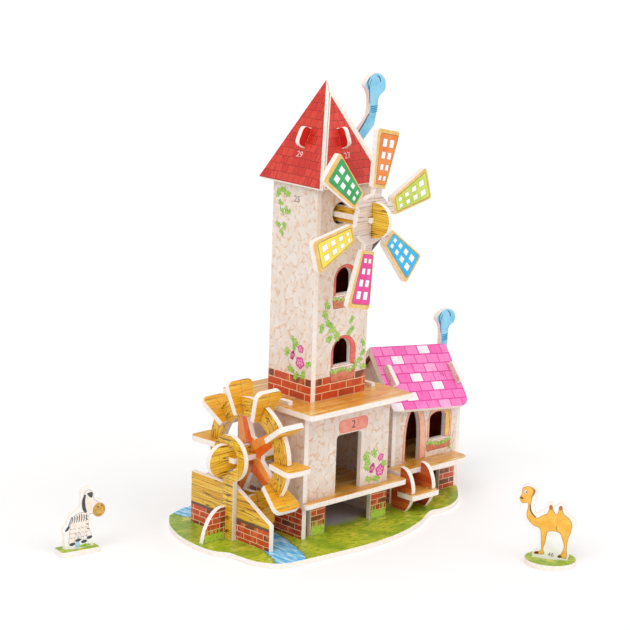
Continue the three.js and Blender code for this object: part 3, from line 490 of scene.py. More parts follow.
def ring_colour(material):
    """Orange two-tone spokes inside the rim's planks."""
    radius, turns = polar(material)
    fifths = add(material, "Math", {0: turns, 1: 5.0, 2: -178 / 72 + 10}, operation="MULTIPLY_ADD")
    part = add(material, "Math", {0: fifths.outputs[0]}, operation="FRACT").outputs[0]
    streak = on_paper(material, (1, 0.4, 1))
    light = brushed(material, "F4A04C", "F2903C", streak, 2.0, 0.4, 0.6)
    dark = brushed(material, "EC6E1A", "E25E0C", streak, 2.0, 0.4, 0.6)
    spoke = change(material, part, 0.49, 0.51, light, dark)
    return change(material, radius, 15.0, 15.3, spoke, rim_colour(material, radius, turns))


SAIL = finish("sail_wheel_print", sail_colour)
RING = finish("water_wheel_print", ring_colour)
print(len(bpy.data.materials), "finishes so far")

# %% [markdown]
# ## From a CAD board to a real one
# A die-cut board has a soft rim where the knife presses the paper down. So each board starts as a merged
# copy of its CAD mesh, the rim of both faces is bevelled by a fifth of a millimetre, and every face gets
# one of three finishes: the print of the front, the print of the back, or the foam of the cut edge. The
# board's own frame, in millimetres on its printed face, is kept, because the drawings are placed in it.

# %% Boards
RIM = 0.18 * MM  # how far the knife rounds the paper's edge
PRINTED = 0.915  # a face turned less than about 24 degrees from the board's face carries its print
faces = {}  # each board's frame: millimetres right, up and out of its front, to metres in the model


def placed(name, shape, finishes, body):
    """Turns a finished bmesh into a piece that rides on a body."""
    data = bpy.data.meshes.new(name)
    shape.to_mesh(data)
    shape.free()
    for material in finishes:
        data.materials.append(material)
    data.shade_smooth()
    data.set_sharp_from_angle(angle=math.radians(20))
    made = bpy.data.objects.new(name, data)
    bpy.context.scene.collection.objects.link(made)
    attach(made, body)
    return made


def board(node, front, out, zero, back=None, right=None):
    """A printed board in place of a CAD node; zero, in mm, is where its drawing's coordinates start."""
    shape = bmesh.new()
    shape.from_mesh(nodes[node].data)
    bmesh.ops.remove_doubles(shape, verts=shape.verts, dist=0.001 * MM)
    bmesh.ops.dissolve_limit(shape, angle_limit=math.radians(0.5), verts=shape.verts, edges=shape.edges)
    shape.normal_update()
    widest = max(shape.faces, key=lambda face: face.calc_area()).normal.copy()
    normal = widest if widest.dot(Vector(out)) > 0 else -widest
    level = Vector(right) if right else Z.cross(normal) if abs(normal.z) < 0.9 else X
    level = (level - normal * level.dot(normal)).normalized()
    zero = Vector(zero) * MM
    zero += normal * (max(normal.dot(v.co) for v in shape.verts) - normal.dot(zero))
    place = Matrix((level, normal.cross(level), normal)).transposed().to_4x4()
    faces[node] = Matrix.Translation(zero) @ place @ Matrix.Diagonal((MM, MM, MM, 1))

    def at_rim(edge):
        """Whether the edge lies between a printed face and a cut one."""
        return len({abs(face.normal.dot(normal)) > PRINTED for face in edge.link_faces}) == 2

    rim = [edge for edge in shape.edges if at_rim(edge)]
    bmesh.ops.bevel(shape, geom=rim, offset=RIM, offset_type="OFFSET", segments=2, profile=0.5,
                    affect="EDGES", clamp_overlap=True, material=-1)
    shape.normal_update()
    paper = shape.loops.layers.uv.new("print")
    to_paper = faces[node].inverted()
    for face in shape.faces:
        side = face.normal.dot(normal)
        face.material_index = 0 if side > PRINTED else 1 if side < -PRINTED else 2
        for loop in face.loops:
            loop[paper].uv = (to_paper @ loop.vert.co).xy
    made = placed(f"{node}_board", shape, (front, back or front, FOAM), nodes[node]["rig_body"])
    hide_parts(node)
    return made


# %% [markdown]
# ## House, tower and annex
# The walls stand square to the frame, so `out` is simply left, right, front or back. Zero height is put
# at the top of each wall's brick band: the porch floor, three courses above the deck, or the annex floor.

# %% Walls
def top_of(node):
    """The height of a node's highest point in millimetres."""
    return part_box(node)[1].z / MM


PORCH, DECK_TOP, ANNEX_FLOOR = top_of("porch_floor"), top_of("upper_deck"), top_of("annex_floor")
BAND = DECK_TOP + 3 * TOWER_BRICK["height"]
WALLS = ("left_wall", "right_wall", "front_wall", "back_wall")
GABLES = ("left_gable", "right_gable", "front_wall", "back_wall")
for part, zero, sides, outside, inside in (
        ("house", PORCH, WALLS, STUCCO, ROOM), ("tower", BAND, WALLS, TOWER_STUCCO, INSIDE),
        ("annex", ANNEX_FLOOR, GABLES, STUCCO, ANNEX_INSIDE)):
    for side, out in zip(sides, (-X, X, -Y, Y)):
        board(f"{part}_{side}", outside, out, (0, 0, zero), back=inside)

# %% Floors and stairs
for node in ("porch_floor", "upper_deck", "annex_floor", "stair_step"):
    board(node, DECK, Z, (0, 0, 0), back=STAIR)
for node in ("stair_left_side", "stair_right_side"):
    board(node, STAIR, -X, (0, 0, 0))

# %% Roofs
for side, out in (("left", -X), ("right", X), ("front", -Y), ("back", Y)):
    node = f"roof_{side}_panel"
    board(node, RED_TILES, out + Z, (0, 0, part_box(node)[0].z / MM), back=INSIDE)
for node, out in (("roof_cross_plate_x", -Y), ("roof_cross_plate_y", -X)):
    board(node, RED, out, (0, 0, 0))

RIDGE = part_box("annex_roof_front")[1] / MM
TILT = math.radians(6.5)  # the annex roof sits a little askew, lower on the right
TILE_SHIFT = 5.5  # how far the rows of tiles are moved along the ridge
RIDGE_HALF = 23  # half the ridge's length
ridge_middle = sum((Vector(corner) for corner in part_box("annex_roof_front")), Vector()) / 2 / MM
for node, out in (("annex_roof_front", -Y), ("annex_roof_back", Y)):
    along = Vector((math.cos(TILT), 0, -math.sin(TILT))) * (1 if out == -Y else -1)
    ridge = Vector((ridge_middle.x, RIDGE.y, RIDGE.z - RIDGE_HALF * math.sin(TILT)))
    board(node, PINK_TILES, out + Z, ridge + along * TILE_SHIFT, back=INSIDE, right=along)
for node in ("tall_pipe", "short_pipe"):
    board(node, BLUE, -Y, (0, 0, 0))

# %% [markdown]
# ## Wheels and their supports
# The sail wheel stands five degrees askew in its loose holes, so its boards use a turned frame. A paddle
# lies along a radius of the water wheel, with its zero on the axle.

# %% Wheels and supports
def turned(vector, degrees):
    """A vector turned about the upright axis."""
    return Matrix.Rotation(math.radians(degrees), 3, "Z") @ vector


def joint_place(name):
    """Where a joint is, in millimetres."""
    return Vector(next(j for j in frame["joints"] if j["name"] == name)["pos_m"]) / MM


SAIL_TURN = 5.0
SAIL_HUB, WHEEL_HUB = joint_place("sail_spin"), joint_place("wheel_spin")
board("sail_wheel", SAIL, turned(-Y, SAIL_TURN), SAIL_HUB)
board("rotor_axle_upright", YELLOW, turned(-X, SAIL_TURN), SAIL_HUB)
board("rotor_axle_level", YELLOW, Z, SAIL_HUB, right=turned(Y, SAIL_TURN))
board("water_wheel_ring", RING, -X, WHEEL_HUB)
board("wheel_axle_upright", YELLOW, -Y, WHEEL_HUB)
board("wheel_axle_level", YELLOW, Z, WHEEL_HUB)
PADDLES, FIRST_PADDLE = 10, 2.0
for number in range(PADDLES):
    angle = math.radians(FIRST_PADDLE + number * 360 / PADDLES)
    away = Vector((0, -math.sin(angle), math.cos(angle)))
    board(f"paddle_{number + 1}", PADDLE, away, WHEEL_HUB, right=X)
board("wheel_post", YELLOW_UP, -X, WHEEL_HUB)
board("wheel_plank_wall", PLANK_WALL, -X, (0, 0, 10.8))
board("wheel_buttress", BRICKS, -Y, (0, 0, 2.2))
board("base_plate", BASE, Z, (0, 0, 0), back=WHITE)

# %% Animals
ZEBRA_TURN, CAMEL_TURN = -10.0, -56.0
for animal, angle in (("zebra", ZEBRA_TURN), ("camel", CAMEL_TURN)):
    low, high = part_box(f"{animal}_stand")
    middle = (low + high) / 2 / MM
    board(f"{animal}_stand", GRASS, Z, middle, back=WHITE, right=turned(X, angle))
    board(f"{animal}_figure", WHITE, turned(-Y, angle), (middle.x, middle.y, 0))
print(len(faces), "boards finished")

# %% [markdown]
# ## Printed drawings
# The sharp drawings on the boards, such as leaves, flowers, window frames and figures, are too free for
# a shader. Each is a patch of ink: a flat face drawn in millimetres on the board, with a thinner rim
# inset from its edge where the drawing has an outline. All patches of a board become one film, a few
# hundredths of a millimetre above the paper, and an extrusion gives it closed bodies.

# %% Inks
INKS = {
    "leaf": ink("leaf_green_ink", "B9D65A", "86BC38", 1.2),
    "leaf_line": ink("leaf_outline_ink", "7CAE3C", "649A30", 1.5),
    "grass": ink("grass_blade_ink", "C6DC4A", "9CC630", 1.0),
    "petal": ink("petal_ink", "F7A6D2", "E86AB4", 1.0),
    "petal_line": ink("petal_outline_ink", "DC3F9C", "C02C86", 1.2),
    "pollen": ink("pollen_ink", "F6E27A", "EBCB4A", 1.0),
    "coral": ink("coral_frame_ink", "EE6F5C", "E2584A", 2.0),
    "coral_line": ink("coral_outline_ink", "B5382E", "9E2C26", 2.0),
    "cream": ink("cream_ink", "FBF1E6", "F3E4D6", 2.0),
    "white": ink("white_ink", "FFFFFF", "F8F8F6", 2.0),
    "trough": ink("trough_ink", "DC8464", "C9694A", 1.5),
    "trough_line": ink("trough_outline_ink", "9C4A30", "8A3C26", 1.5),
    "salmon": ink("salmon_sign_ink", "F3A08C", "EE8C78", 3.0),
    "brown": ink("brown_line_ink", "6A2A1E", "5A2218", 1.5),
    "grey": ink("grey_number_ink", "8A7A78", "7A6A6A", 1.5),
    "pale": ink("pale_number_ink", "F9D3CC", "F3C2BA", 1.5),
    "peach": ink("peach_frame_ink", "F8C0A4", "F2AE8E", 2.0),
    "peach_line": ink("peach_outline_ink", "CC6A36", "B9582A", 2.0),
    "curtain": ink("curtain_ink", "F8DA5A", "F0C23C", 1.0),
    "tile_white": ink("white_tile_ink", "FDF7F9", "F7E6EF", 3.0),
    "tile_pale": ink("pale_pink_tile_ink", "FBB0DA", "F99CCF", 3.0),
    "rose": ink("rose_number_ink", "C22A86", "B02478", 1.5),
    "sky": ink("dark_blue_ink", "1E9BC8", "1685B4", 1.5),
    "navy": ink("navy_line_ink", "1C4A66", "163C56", 1.5),
    "black": ink("zebra_black_ink", "34343A", "4E4E56", 1.0),
    "smoke": ink("zebra_grey_ink", "A9A4A8", "94909A", 1.0),
    "muzzle": ink("zebra_muzzle_ink", "D8AE50", "C2923A", 1.2),
    "puddle": ink("puddle_ink", "9CCCE8", "B9DEF2", 0.8),
    "camel": ink("camel_ink", "F8C24A", "F3B034", 3.0),
    "camel_line": ink("camel_outline_ink", "CE8224", "B56A1A", 1.5),
    "blade_line": ink("blade_outline_ink", "8A6A3A", "7A5A30", 3.0),
}
BLADES = ("orange", "lime", "blue", "magenta", "yellow", "green")
for colour, light, dark in zip(BLADES, ("F48C34", "D2E04C", "08C0F4", "F03A9C", "FBE64A", "22B05C"),
                               ("EC7820", "BCD038", "02AEE6", "E42C8C", "F6DA2C", "149C4C")):
    INKS[colour] = ink(f"blade_{colour}_ink", light, dark, 5.0, roughness=0.36)
ORDER = list(INKS)
print(len(INKS), "inks")

# %% Patches of ink
BOARD = 2.2  # the boards' thickness in millimetres
FILM, STEP = 0.03, 0.015  # millimetres above the paper of the first layer, and from layer to layer


def patch(sheet, points, fill, layer=0, line=None, width=0.3):
    """A flat patch with these corners; line inks a rim of that width around it."""
    height = FILM + STEP * (layer + len(sheet.faces) % 37 / 37)  # no two patches lie equally high
    corners = [sheet.verts.new((u, v, height)) for u, v in points]
    face = sheet.faces.new(corners)
    face.normal_update()
    if face.normal.z < 0:
        face.normal_flip()
    face.material_index = ORDER.index(fill)
    if line:
        rim = bmesh.ops.inset_individual(sheet, faces=[face], thickness=width, use_even_offset=True)
        for made in rim["faces"]:
            made.material_index = ORDER.index(line)


def lobed(centre, size, lobes=0, depth=0.0, power=1.0, turn=0.0, squash=1.0):
    """The outline of an oval, or of a leaf or flower whose radius waves that many times round it."""
    steps = max(20, lobes * 8)
    points = []
    for step in range(steps):
        angle = math.tau * step / steps
        wave = abs(math.cos(lobes * angle / 2)) ** power if lobes else 1.0
        radius = size * (1 - depth + depth * wave)
        across, along = radius * math.cos(angle), radius * math.sin(angle) * squash
        c, s = math.cos(math.radians(turn)), math.sin(math.radians(turn))
        points.append((centre[0] + across * c - along * s, centre[1] + across * s + along * c))
    return points


def curved(points, steps=4, closed=True):
    """A smooth line through the points, each bend eased with its neighbours."""
    count, out = len(points), []
    for i in range(count if closed else count - 1):
        around = [j % count if closed else min(max(j, 0), count - 1) for j in range(i - 1, i + 3)]
        near = [points[j] for j in around]
        for step in range(steps):
            t = step / steps
            weights = (-t + 2 * t**2 - t**3, 2 - 5 * t**2 + 3 * t**3, t + 4 * t**2 - 3 * t**3, t**3 - t**2)
            out.append(tuple(sum(w * p[axis] for w, p in zip(weights, near)) / 2 for axis in (0, 1)))
    return out if closed else out + [points[-1]]


def stroke(sheet, points, width, fill, layer=1, taper=0.4):
    """A pen stroke along the points, thinner at its ends."""
    line = curved(points, 4, closed=False)
    left, right = [], []
    for i, (u, v) in enumerate(line):
        (u0, v0), (u1, v1) = line[max(i - 1, 0)], line[min(i + 1, len(line) - 1)]
        along = math.hypot(u1 - u0, v1 - v0) or 1.0
        half = width / 2 * (taper + (1 - taper) * math.sin(math.pi * (i + 0.5) / len(line)))
        du, dv = (v1 - v0) / along * half, -(u1 - u0) / along * half
        left.append((u - du, v - dv))
        right.append((u + du, v + dv))
    patch(sheet, left + right[::-1], fill, layer)


def arched(u0, u1, v0, v1, rise=None, steps=14):
    """A round-topped outline from its lower left corner over the top to its lower right one."""
    middle, half = (u0 + u1) / 2, (u1 - u0) / 2
    rise = rise or min(half, v1 - v0)
    top = [(middle - half * math.cos(math.pi * i / steps), v1 - rise + rise * math.sin(math.pi * i / steps))
           for i in range(steps + 1)]
    return [(u0, v0)] + top + [(u1, v0)]


def oblong(u0, u1, v0, v1, corner=0.0):
    """A rectangle, with its corners rounded if asked."""
    if not corner:
        return [(u0, v0), (u1, v0), (u1, v1), (u0, v1)]
    points = []
    for turn, (u, v) in enumerate(((u1 - corner, v1 - corner), (u0 + corner, v1 - corner),
                                   (u0 + corner, v0 + corner), (u1 - corner, v0 + corner))):
        for part in range(5):
            angle = math.pi / 2 * (turn + part / 4)
            points.append((u + corner * math.cos(angle), v + corner * math.sin(angle)))
    return points


def number(sheet, text, centre, height, fill, layer=1):
    """Figures of that height in millimetres, centred; the text is made a mesh first."""
    letters = bpy.data.curves.new("figures", "FONT")
    letters.body, letters.align_x, letters.align_y, letters.size = text, "CENTER", "CENTER", height * 1.35
    writer = bpy.data.objects.new("figures", letters)
    flat = bpy.data.meshes.new_from_object(writer)
    before = set(sheet.verts), set(sheet.faces)
    sheet.from_mesh(flat)
    fresh = [v for v in sheet.verts if v not in before[0]]
    for face in sheet.faces:
        if face not in before[1]:
            face.material_index = ORDER.index(fill)
    bmesh.ops.translate(sheet, verts=fresh, vec=(*centre, FILM + STEP * layer))
    bmesh.ops.remove_doubles(sheet, verts=fresh, dist=0.001)
    for block in (writer, letters):
        bpy.data.batch_remove([block])
    bpy.data.meshes.remove(flat)


def print_on(node, sheet, zero=0.0, both_sides=False):
    """Thickens the patches and lays them on a board; heights were drawn from zero."""
    grown = bmesh.ops.extrude_face_region(sheet, geom=sheet.faces[:], use_keep_orig=True)
    lower = [v for v in grown["geom"] if isinstance(v, bmesh.types.BMVert)]
    bmesh.ops.translate(sheet, verts=lower, vec=(0, 0, -0.12))
    if both_sides:
        copy = bmesh.ops.duplicate(sheet, geom=sheet.verts[:] + sheet.edges[:] + sheet.faces[:])
        back = [v for v in copy["geom"] if isinstance(v, bmesh.types.BMVert)]
        bmesh.ops.scale(sheet, verts=back, vec=(1, 1, -1))
        bmesh.ops.translate(sheet, verts=back, vec=(0, 0, -BOARD))
    bmesh.ops.recalc_face_normals(sheet, faces=sheet.faces)
    bmesh.ops.translate(sheet, verts=sheet.verts, vec=(0, -zero, 0))
    bmesh.ops.transform(sheet, matrix=faces[node], verts=sheet.verts)
    used = sorted({face.material_index for face in sheet.faces})
    for face in sheet.faces:
        face.material_index = used.index(face.material_index)
    placed(f"{node}_print", sheet, [INKS[ORDER[i]] for i in used], nodes[node]["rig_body"])
    print(node, "printed with", ", ".join(ORDER[i] for i in used))


# %% [markdown]
# ## Ivy, flowers and window frames
# An ivy leaf is an oval whose radius waves five times with sharp tips; a flower waves five times with
# round ones. The turns come from a seeded random number, so that no two leaves hang alike.

# %% Leaves and flowers
chance = Random(7)


def leaf(sheet, centre, size=1.8, layer=1):
    """One ivy leaf with a dark rim."""
    turn = chance.uniform(0, 360)
    squash = chance.uniform(0.7, 0.95)
    patch(sheet, lobed(centre, size, 5, 0.45, 1.5, turn, squash), "leaf", layer, "leaf_line", 0.1)


def vine(sheet, leaves, size=1.8):
    """A thin stem through the leaves' places, and a leaf or two at each."""
    if len(leaves) > 2:
        stroke(sheet, leaves, 0.22, "leaf_line", 0)
    for u, v in leaves:
        leaf(sheet, (u, v), size)
        away = chance.uniform(0, math.tau)
        leaf(sheet, (u + 1.5 * math.cos(away), v + 1.5 * math.sin(away)), size * 0.75, 2)


def flower(sheet, centre, size, squash=1.0, turn=0.0):
    """A five-petalled flower: a dark pink rim, pale petals and a yellow middle."""
    patch(sheet, lobed(centre, size, 5, 0.22, 0.7, turn, squash), "petal", 4, "petal_line", size * 0.26)
    patch(sheet, lobed(centre, size * 0.32, squash=squash, turn=turn), "petal_line", 5)
    patch(sheet, lobed(centre, size * 0.16, squash=squash, turn=turn), "pollen", 6)


def flower_box(sheet, u0, u1, low, high, leaves):
    """A trough under a window with a row of leaves along its top."""
    middle = (u0 + u1) / 2
    patch(sheet, [(u0 + 0.7, low), (u1 - 0.7, low), (u1, high), (u0, high)], "trough", 2, "trough_line", 0.25)
    for i in range(leaves):
        u = u0 + (u1 - u0) * (i + 0.5) / leaves
        leaf(sheet, (u, high + chance.uniform(-0.5, 0.7) - 0.02 * abs(u - middle)), 1.25, 3 + i % 2)


def tuft(sheet, low, high, ground, tall=3.6):
    """Grass painted at the foot of a wall: a solid strip with blades that stand up out of it."""
    count = round((high - low) / 0.75)
    patch(sheet, oblong(low, high, ground, ground + 2.8, 0.6), "grass", 0)
    for i in range(count):
        u = low + (high - low) * (i + 0.5) / count
        tip = u + chance.uniform(-1.2, 1.2)
        top = ground + tall + chance.uniform(0, 3.6)
        foot = ground + 0.1
        patch(sheet, [(u - 0.55, foot), (u + 0.55, foot), (tip, top)], "grass", 1, "leaf", 0.1)


def frame_round(sheet, hole, outer, fill, line, sill=None):
    """An arched frame around a window's hole; the hole itself is left open."""
    inside = arched(*hole)
    outside = arched(*outer)
    patch(sheet, outside + inside[::-1], fill, 1, line, 0.22)
    if sill:
        patch(sheet, oblong(*sill), "cream", 2, line, 0.15)


# %% Tower
sheet = bmesh.new()
vine(sheet, [(-9.2, 136.6), (-6.3, 137.7), (-3.9, 136.4)])
vine(sheet, [(-8.5, 132.7), (-7.4, 129.6), (-5.0, 130.6), (-3.1, 129.6)], 1.3)
vine(sheet, [(-8.6, 123.4), (-5.7, 124.2), (-7.5, 121.2)], 1.3)
number(sheet, "25", (1.2, 135.2), 2.6, "grey")
vine(sheet, [(2.5, 78.5), (2.9, 77.0)])
vine(sheet, [(-1.6, 73.9), (0.2, 66.8), (4.1, 64.9), (7.9, 66.1), (10.1, 70.3)], 1.7)
flower(sheet, (6.0, 75.9), 1.7, turn=20)
flower(sheet, (1.4, 72.5), 2.1, 0.6, 75)
flower(sheet, (5.8, 70.3), 2.5, turn=-10)
print_on("tower_left_wall", sheet, BAND)

sheet = bmesh.new()
vine(sheet, [(-8.0, 94.1), (-8.8, 90.5), (-6.8, 86.5), (-10.3, 84.3)])
vine(sheet, [(-4.9, 84.9), (-3.9, 83.4), (-1.9, 80.9), (-6.4, 79.7)])
vine(sheet, [(5.7, 85.7), (5.9, 81.9), (4.6, 80.6)], 1.4)
vine(sheet, [(12.6, 76.3), (12.5, 71.3), (10.8, 68.8), (12.9, 65.8), (8.9, 67.4)], 1.4)
frame_round(sheet, (-3.5, 6.0, 68.5, 79.3), (-4.6, 8.9, 67.6, 80.4), "coral", "coral_line",
            (-4.4, 7.2, 67.2, 68.2))
flower_box(sheet, -5.0, 9.1, 61.8, 66.0, 7)
frame_round(sheet, (-3.3, 5.6, 97.6, 108.1), (-4.5, 8.3, 96.8, 109.3), "coral", "coral_line",
            (-4.2, 6.8, 96.4, 97.3))
flower_box(sheet, -4.9, 8.6, 91.8, 95.4, 6)
print_on("tower_front_wall", sheet, BAND)

sheet = bmesh.new()
tuft(sheet, -57.2, -47.0, 2.4, 3.0)
print_on("wheel_buttress", sheet, 2.2)

for side, text in (("left", "29"), ("front", "27")):
    node = f"roof_{side}_panel"
    slope = faces[node]
    sheet = bmesh.new()
    number(sheet, text, (0.3, (152.6 * MM - slope.translation.z) / slope.col[1].z), 2.5, "pale")
    print_on(node, sheet)

# %% House and annex walls
sheet = bmesh.new()
patch(sheet, oblong(-4.4, 11.9, 41.9, 47.3, 2.2), "salmon", 0, "coral", 0.2)
number(sheet, "2", (3.8, 44.6), 3.4, "brown")
vine(sheet, [(16.0, 30.7), (12.1, 30.2), (12.8, 26.7), (11.8, 25.0)])
vine(sheet, [(13.8, 19.6), (18.4, 19.2), (22.2, 24.9)])
flower(sheet, (20.0, 27.9), 1.8, 0.8, 30)
flower(sheet, (15.2, 24.1), 2.3, 0.62, 70)
flower(sheet, (19.7, 22.4), 2.5, turn=15)
for low, high in ((-17.9, -11.0), (15.5, 23.6)):
    tuft(sheet, low, high, 2.4)
print_on("house_front_wall", sheet, PORCH)

sheet = bmesh.new()
frame_round(sheet, (44.4, 53.0, 18.5, 41.0, 13.0), (42.9, 56.6, 18.5, 44.0, 19.0), "peach", "peach_line")
frame_round(sheet, (58.6, 68.2, 25.8, 37.4, 2.4), (57.4, 72.0, 25.0, 41.5, 8.0), "peach", "peach_line",
            (57.8, 69.2, 24.8, 25.6))
stroke(sheet, [(69.2, 26.0), (69.8, 31.0), (69.2, 37.0)], 1.6, "curtain", 3, 0.8)
stroke(sheet, [(70.6, 26.0), (70.9, 31.0), (70.0, 37.0)], 0.3, "peach_line", 4)
flower_box(sheet, 57.0, 72.0, 20.8, 23.8, 8)
leaf(sheet, (71.2, 21.0))
print_on("annex_front_wall", sheet, ANNEX_FLOOR)

# %% [markdown]
# ## The annex roof, the pipes and the sails
# A few of the annex's tiles are white or pale pink, and they are counted in the same rows as the tile
# pattern. Every sail has its own colour and eight little windows that grow towards its tip.

# %% Annex roof
def tile(sheet, row, place, fill):
    """A tile of another colour: rows go down from the ridge, and every other row is half a tile along."""
    u = PINK_TILE["width"] * (place + (0.5 if row % 2 == 0 else 0.0))
    v = -PINK_TILE["height"] * (row + 0.5)
    half, rise = PINK_TILE["width"] / 2 - 0.35, PINK_TILE["height"] / 2 - 0.3
    patch(sheet, oblong(u - half, u + half, v - rise, v + rise, 0.35), fill, 1)


OTHER_TILES = ((0, 0, "tile_white"), (1, -2, "tile_white"), (2, 0, "tile_pale"), (3, -1, "tile_white"),
               (4, 0, "tile_white"), (5, -2, "tile_white"), (6, -4, "tile_white"), (6, 0, "tile_pale"))
for node in ("annex_roof_front", "annex_roof_back"):
    sheet = bmesh.new()
    for row, place, fill in OTHER_TILES:
        tile(sheet, row, place, fill)
    for u in (-19.6, 8.7):
        number(sheet, "15", (u, -14.0), 2.0, "rose", 2)
    print_on(node, sheet)

# %% Pipes
for node, middle, band in (("tall_pipe", 20.6, 169.2), ("short_pipe", 80.4, 65.0)):
    sheet = bmesh.new()
    for ring in range(4):
        v = band - 1.6 + ring * 0.75
        stroke(sheet, [(middle - 1.95, v), (middle, v - 0.25), (middle + 1.95, v)], 0.5, "sky", 1, 0.9)
    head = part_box(node)[1].z / MM
    stroke(sheet, [(middle - 3.2, head - 6.2), (middle - 3.9, head - 3.4), (middle - 2.6, head - 1.2)],
           0.45, "navy", 2)
    stroke(sheet, [(middle - 2.4, band + 1.6), (middle - 2.9, head - 5.0), (middle - 1.7, head - 2.2)],
           0.3, "navy", 2)
    stroke(sheet, [(middle + 1.2, head - 0.9), (middle + 2.6, head - 1.9), (middle + 3.3, head - 3.6)],
           0.45, "navy", 2)
    if node == "tall_pipe":
        stroke(sheet, [(18.0, 166.8), (14.0, 161.8), (8.4, 155.4)], 0.5, "navy", 2, 0.8)
    print_on(node, sheet)

# %% Sails
sheet = bmesh.new()
TURN_OF_FIRST, SHIFT = 78.0, Vector((0.8, -0.1))
for count, colour in enumerate(BLADES):
    away = math.radians(TURN_OF_FIRST - 60 * count)
    out, aside = Vector((math.cos(away), math.sin(away))), Vector((-math.sin(away), math.cos(away)))

    def on_blade(points):
        """From the blade's own (outwards, sideways) to the board."""
        return [tuple(out * r + aside * s + SHIFT * min(1.0, (r - 10) / 8)) for r, s in points]

    def half_at(r):
        """Half the width of the blade's colour that far from the hub."""
        return 3.0 + 2.6 * (r - 13.6) / 19.8

    corners = [(13.6, -2.6), (14.0, -3.0), (32.6, -5.5), (33.4, -4.8), (33.4, 4.8), (32.6, 5.5), (14.0, 3.0),
               (13.6, 2.6)]
    patch(sheet, on_blade(corners), colour, 0, "blade_line", 0.22)
    for r, length in ((16.2, 1.9), (20.4, 2.4), (25.0, 2.8), (29.8, 3.2)):
        for side in (-1, 1):
            s, half = side * half_at(r) * 0.4, half_at(r) * 0.25
            pane = [(r - length / 2, s - half), (r + length / 2, s - half), (r + length / 2, s + half),
                    (r - length / 2, s + half)]
            patch(sheet, on_blade(pane), "white", 1, "grey", 0.1)
print_on("sail_wheel", sheet)

# %% [markdown]
# ## The animals
# Both are drawn on white card. The zebra is mostly line: a dark mane and fringe, a striped back, dark
# hooves and a big tan muzzle. The camel is one yellow shape with a darker outline.

# %% Zebra
sheet = bmesh.new()
body_and_legs = [
    (-4.2, 4.4), (-3.9, 9.0), (-3.6, 12.0), (-2.9, 15.0), (0.6, 16.4), (3.4, 16.0), (4.6, 13.5), (4.4, 10.0),
    (5.8, 6.4), (4.2, 5.2), (2.9, 8.0), (1.6, 4.4), (0.6, 8.0), (-0.4, 5.6), (-1.2, 8.4), (-1.8, 4.2)]
head_and_neck = [
    (2.0, 22.6), (2.6, 24.6), (4.6, 25.2), (6.2, 23.6), (6.6, 21.0), (8.6, 19.4), (7.4, 14.8), (5.2, 15.4),
    (3.9, 14.2), (3.0, 16.4), (2.5, 19.6)]
patch(sheet, curved(body_and_legs), "cream", 0, "smoke", 0.16)
patch(sheet, curved(head_and_neck), "cream", 1, "smoke", 0.16)
stroke(sheet, [(2.7, 23.4), (2.0, 20.6), (2.4, 17.6), (3.3, 16.2)], 1.5, "black", 3)
patch(sheet, curved([(3.6, 23.8), (5.8, 23.9), (5.7, 21.8), (4.4, 22.4)]), "black", 3)
patch(sheet, lobed((8.8, 16.4), 2.7, squash=1.05), "muzzle", 3, "camel_line", 0.2)
for u, v in ((8.3, 17.6), (9.9, 18.0)):
    patch(sheet, lobed((u, v), 0.32), "brown", 4)
stroke(sheet, [(7.6, 14.7), (8.7, 14.2), (9.9, 14.7)], 0.25, "brown", 4)
for place in range(7):
    u = -2.9 + place * 1.02
    stroke(sheet, [(u, 16.0 - abs(u - 0.6) * 0.28), (u + 0.2, 14.4), (u - 0.1, 12.6)], 0.42, "black", 2, 0.3)
for u, v in ((4.4, 13.4), (4.5, 11.4), (4.9, 9.4)):
    stroke(sheet, [(u - 1.3, v + 0.2), (u - 0.3, v - 0.2)], 0.4, "black", 2)
for u in (-3.2, -1.9, 0.0, 1.6, 3.3):
    for v in (6.6, 8.4, 10.2):
        stroke(sheet, [(u - 0.5, v + 0.15), (u + 0.6, v - 0.15)], 0.25, "smoke", 2)
stroke(sheet, [(-3.0, 15.3), (-3.9, 12.8), (-4.6, 11.2)], 0.6, "smoke", 3)
patch(sheet, curved([(-4.1, 11.9), (-5.0, 11.2), (-5.9, 9.8), (-4.9, 9.9), (-4.0, 10.8)]), "black", 4)
for u, v in ((-2.7, 4.1), (-0.2, 5.4), (2.4, 4.5), (4.7, 5.8)):
    patch(sheet, lobed((u, v), 1.25, squash=0.5, turn=8), "black", 4)
patch(sheet, lobed((-0.4, 3.6), 1.1, squash=1.1), "puddle", 3)
patch(sheet, lobed((2.6, 2.9), 2.8, 9, 0.25, 1.0, squash=0.22), "leaf", 3)
print_on("zebra_figure", sheet, both_sides=True)

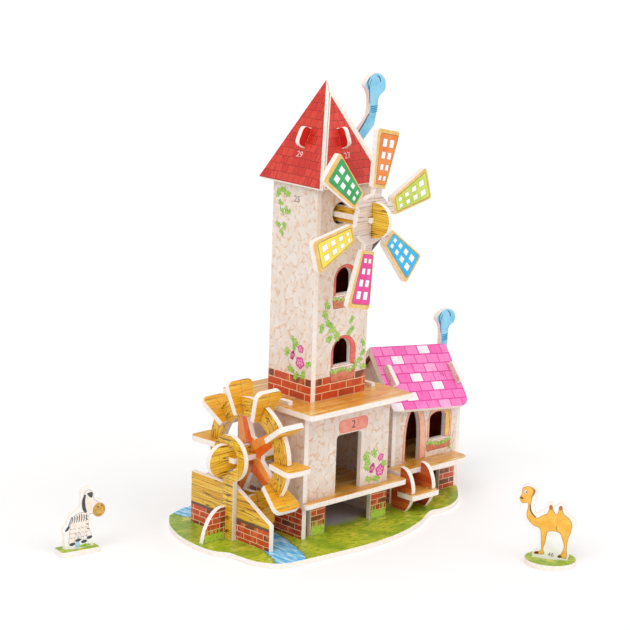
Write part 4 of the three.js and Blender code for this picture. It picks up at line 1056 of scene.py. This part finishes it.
# %% Camel
sheet = bmesh.new()
whole_camel = [
    (-12.3, 29.4), (-11.7, 30.3), (-9.7, 30.8), (-7.7, 29.9), (-8.1, 27.2), (-8.6, 23.1), (-7.8, 20.1),
    (-6.0, 18.3), (-3.7, 19.8), (-2.1, 20.6), (-0.8, 23.9), (0.2, 22.4), (1.1, 20.7), (1.9, 21.1),
    (2.6, 23.7), (3.4, 23.8), (4.4, 20.9), (6.4, 19.5), (7.8, 17.1), (7.5, 14.0), (6.7, 11.4), (6.2, 7.8),
    (6.4, 3.2), (4.6, 3.0), (3.0, 3.8), (4.4, 5.0), (5.1, 7.7), (4.5, 10.1), (2.9, 13.2), (-1.0, 13.4),
    (-1.9, 11.5), (-2.2, 8.9), (-2.9, 5.8), (-2.4, 3.9), (-6.3, 3.7), (-5.9, 4.7), (-3.9, 5.2),
    (-3.7, 7.7), (-4.0, 10.8), (-4.7, 14.2), (-7.4, 15.3), (-9.4, 17.4), (-10.1, 19.6), (-9.7, 22.5),
    (-10.0, 24.2), (-11.6, 23.7), (-12.8, 24.7), (-13.1, 25.8), (-12.3, 27.6)]
patch(sheet, curved(whole_camel, 3), "camel", 1, "camel_line", 0.22)
patch(sheet, lobed((-10.8, 28.5), 0.85), "cream", 3, "camel_line", 0.12)
patch(sheet, lobed((-10.6, 28.4), 0.32), "brown", 4)
patch(sheet, lobed((-12.3, 25.9), 0.7, squash=0.5, turn=-30), "brown", 3)
for u, v in ((-0.8, 23.2), (3.0, 23.2)):
    patch(sheet, lobed((u, v), 0.75, squash=1.3), "camel_line", 2)
stroke(sheet, [(-8.7, 30.0), (-7.4, 29.4), (-7.9, 27.6), (-8.6, 26.6)], 0.6, "camel_line", 2)
stroke(sheet, [(-9.0, 23.6), (-8.4, 20.6), (-6.4, 18.6)], 0.45, "brown", 3)
stroke(sheet, [(1.8, 16.0), (1.9, 14.4), (3.0, 13.0)], 0.3, "camel_line", 2)
for u, v in ((-5.4, 4.2), (3.7, 3.5)):
    patch(sheet, lobed((u, v), 0.85, squash=0.55, turn=10), "brown", 3)
number(sheet, "46", (0.2, 3.9), 1.8, "grey", 2)
print_on("camel_figure", sheet, both_sides=True)
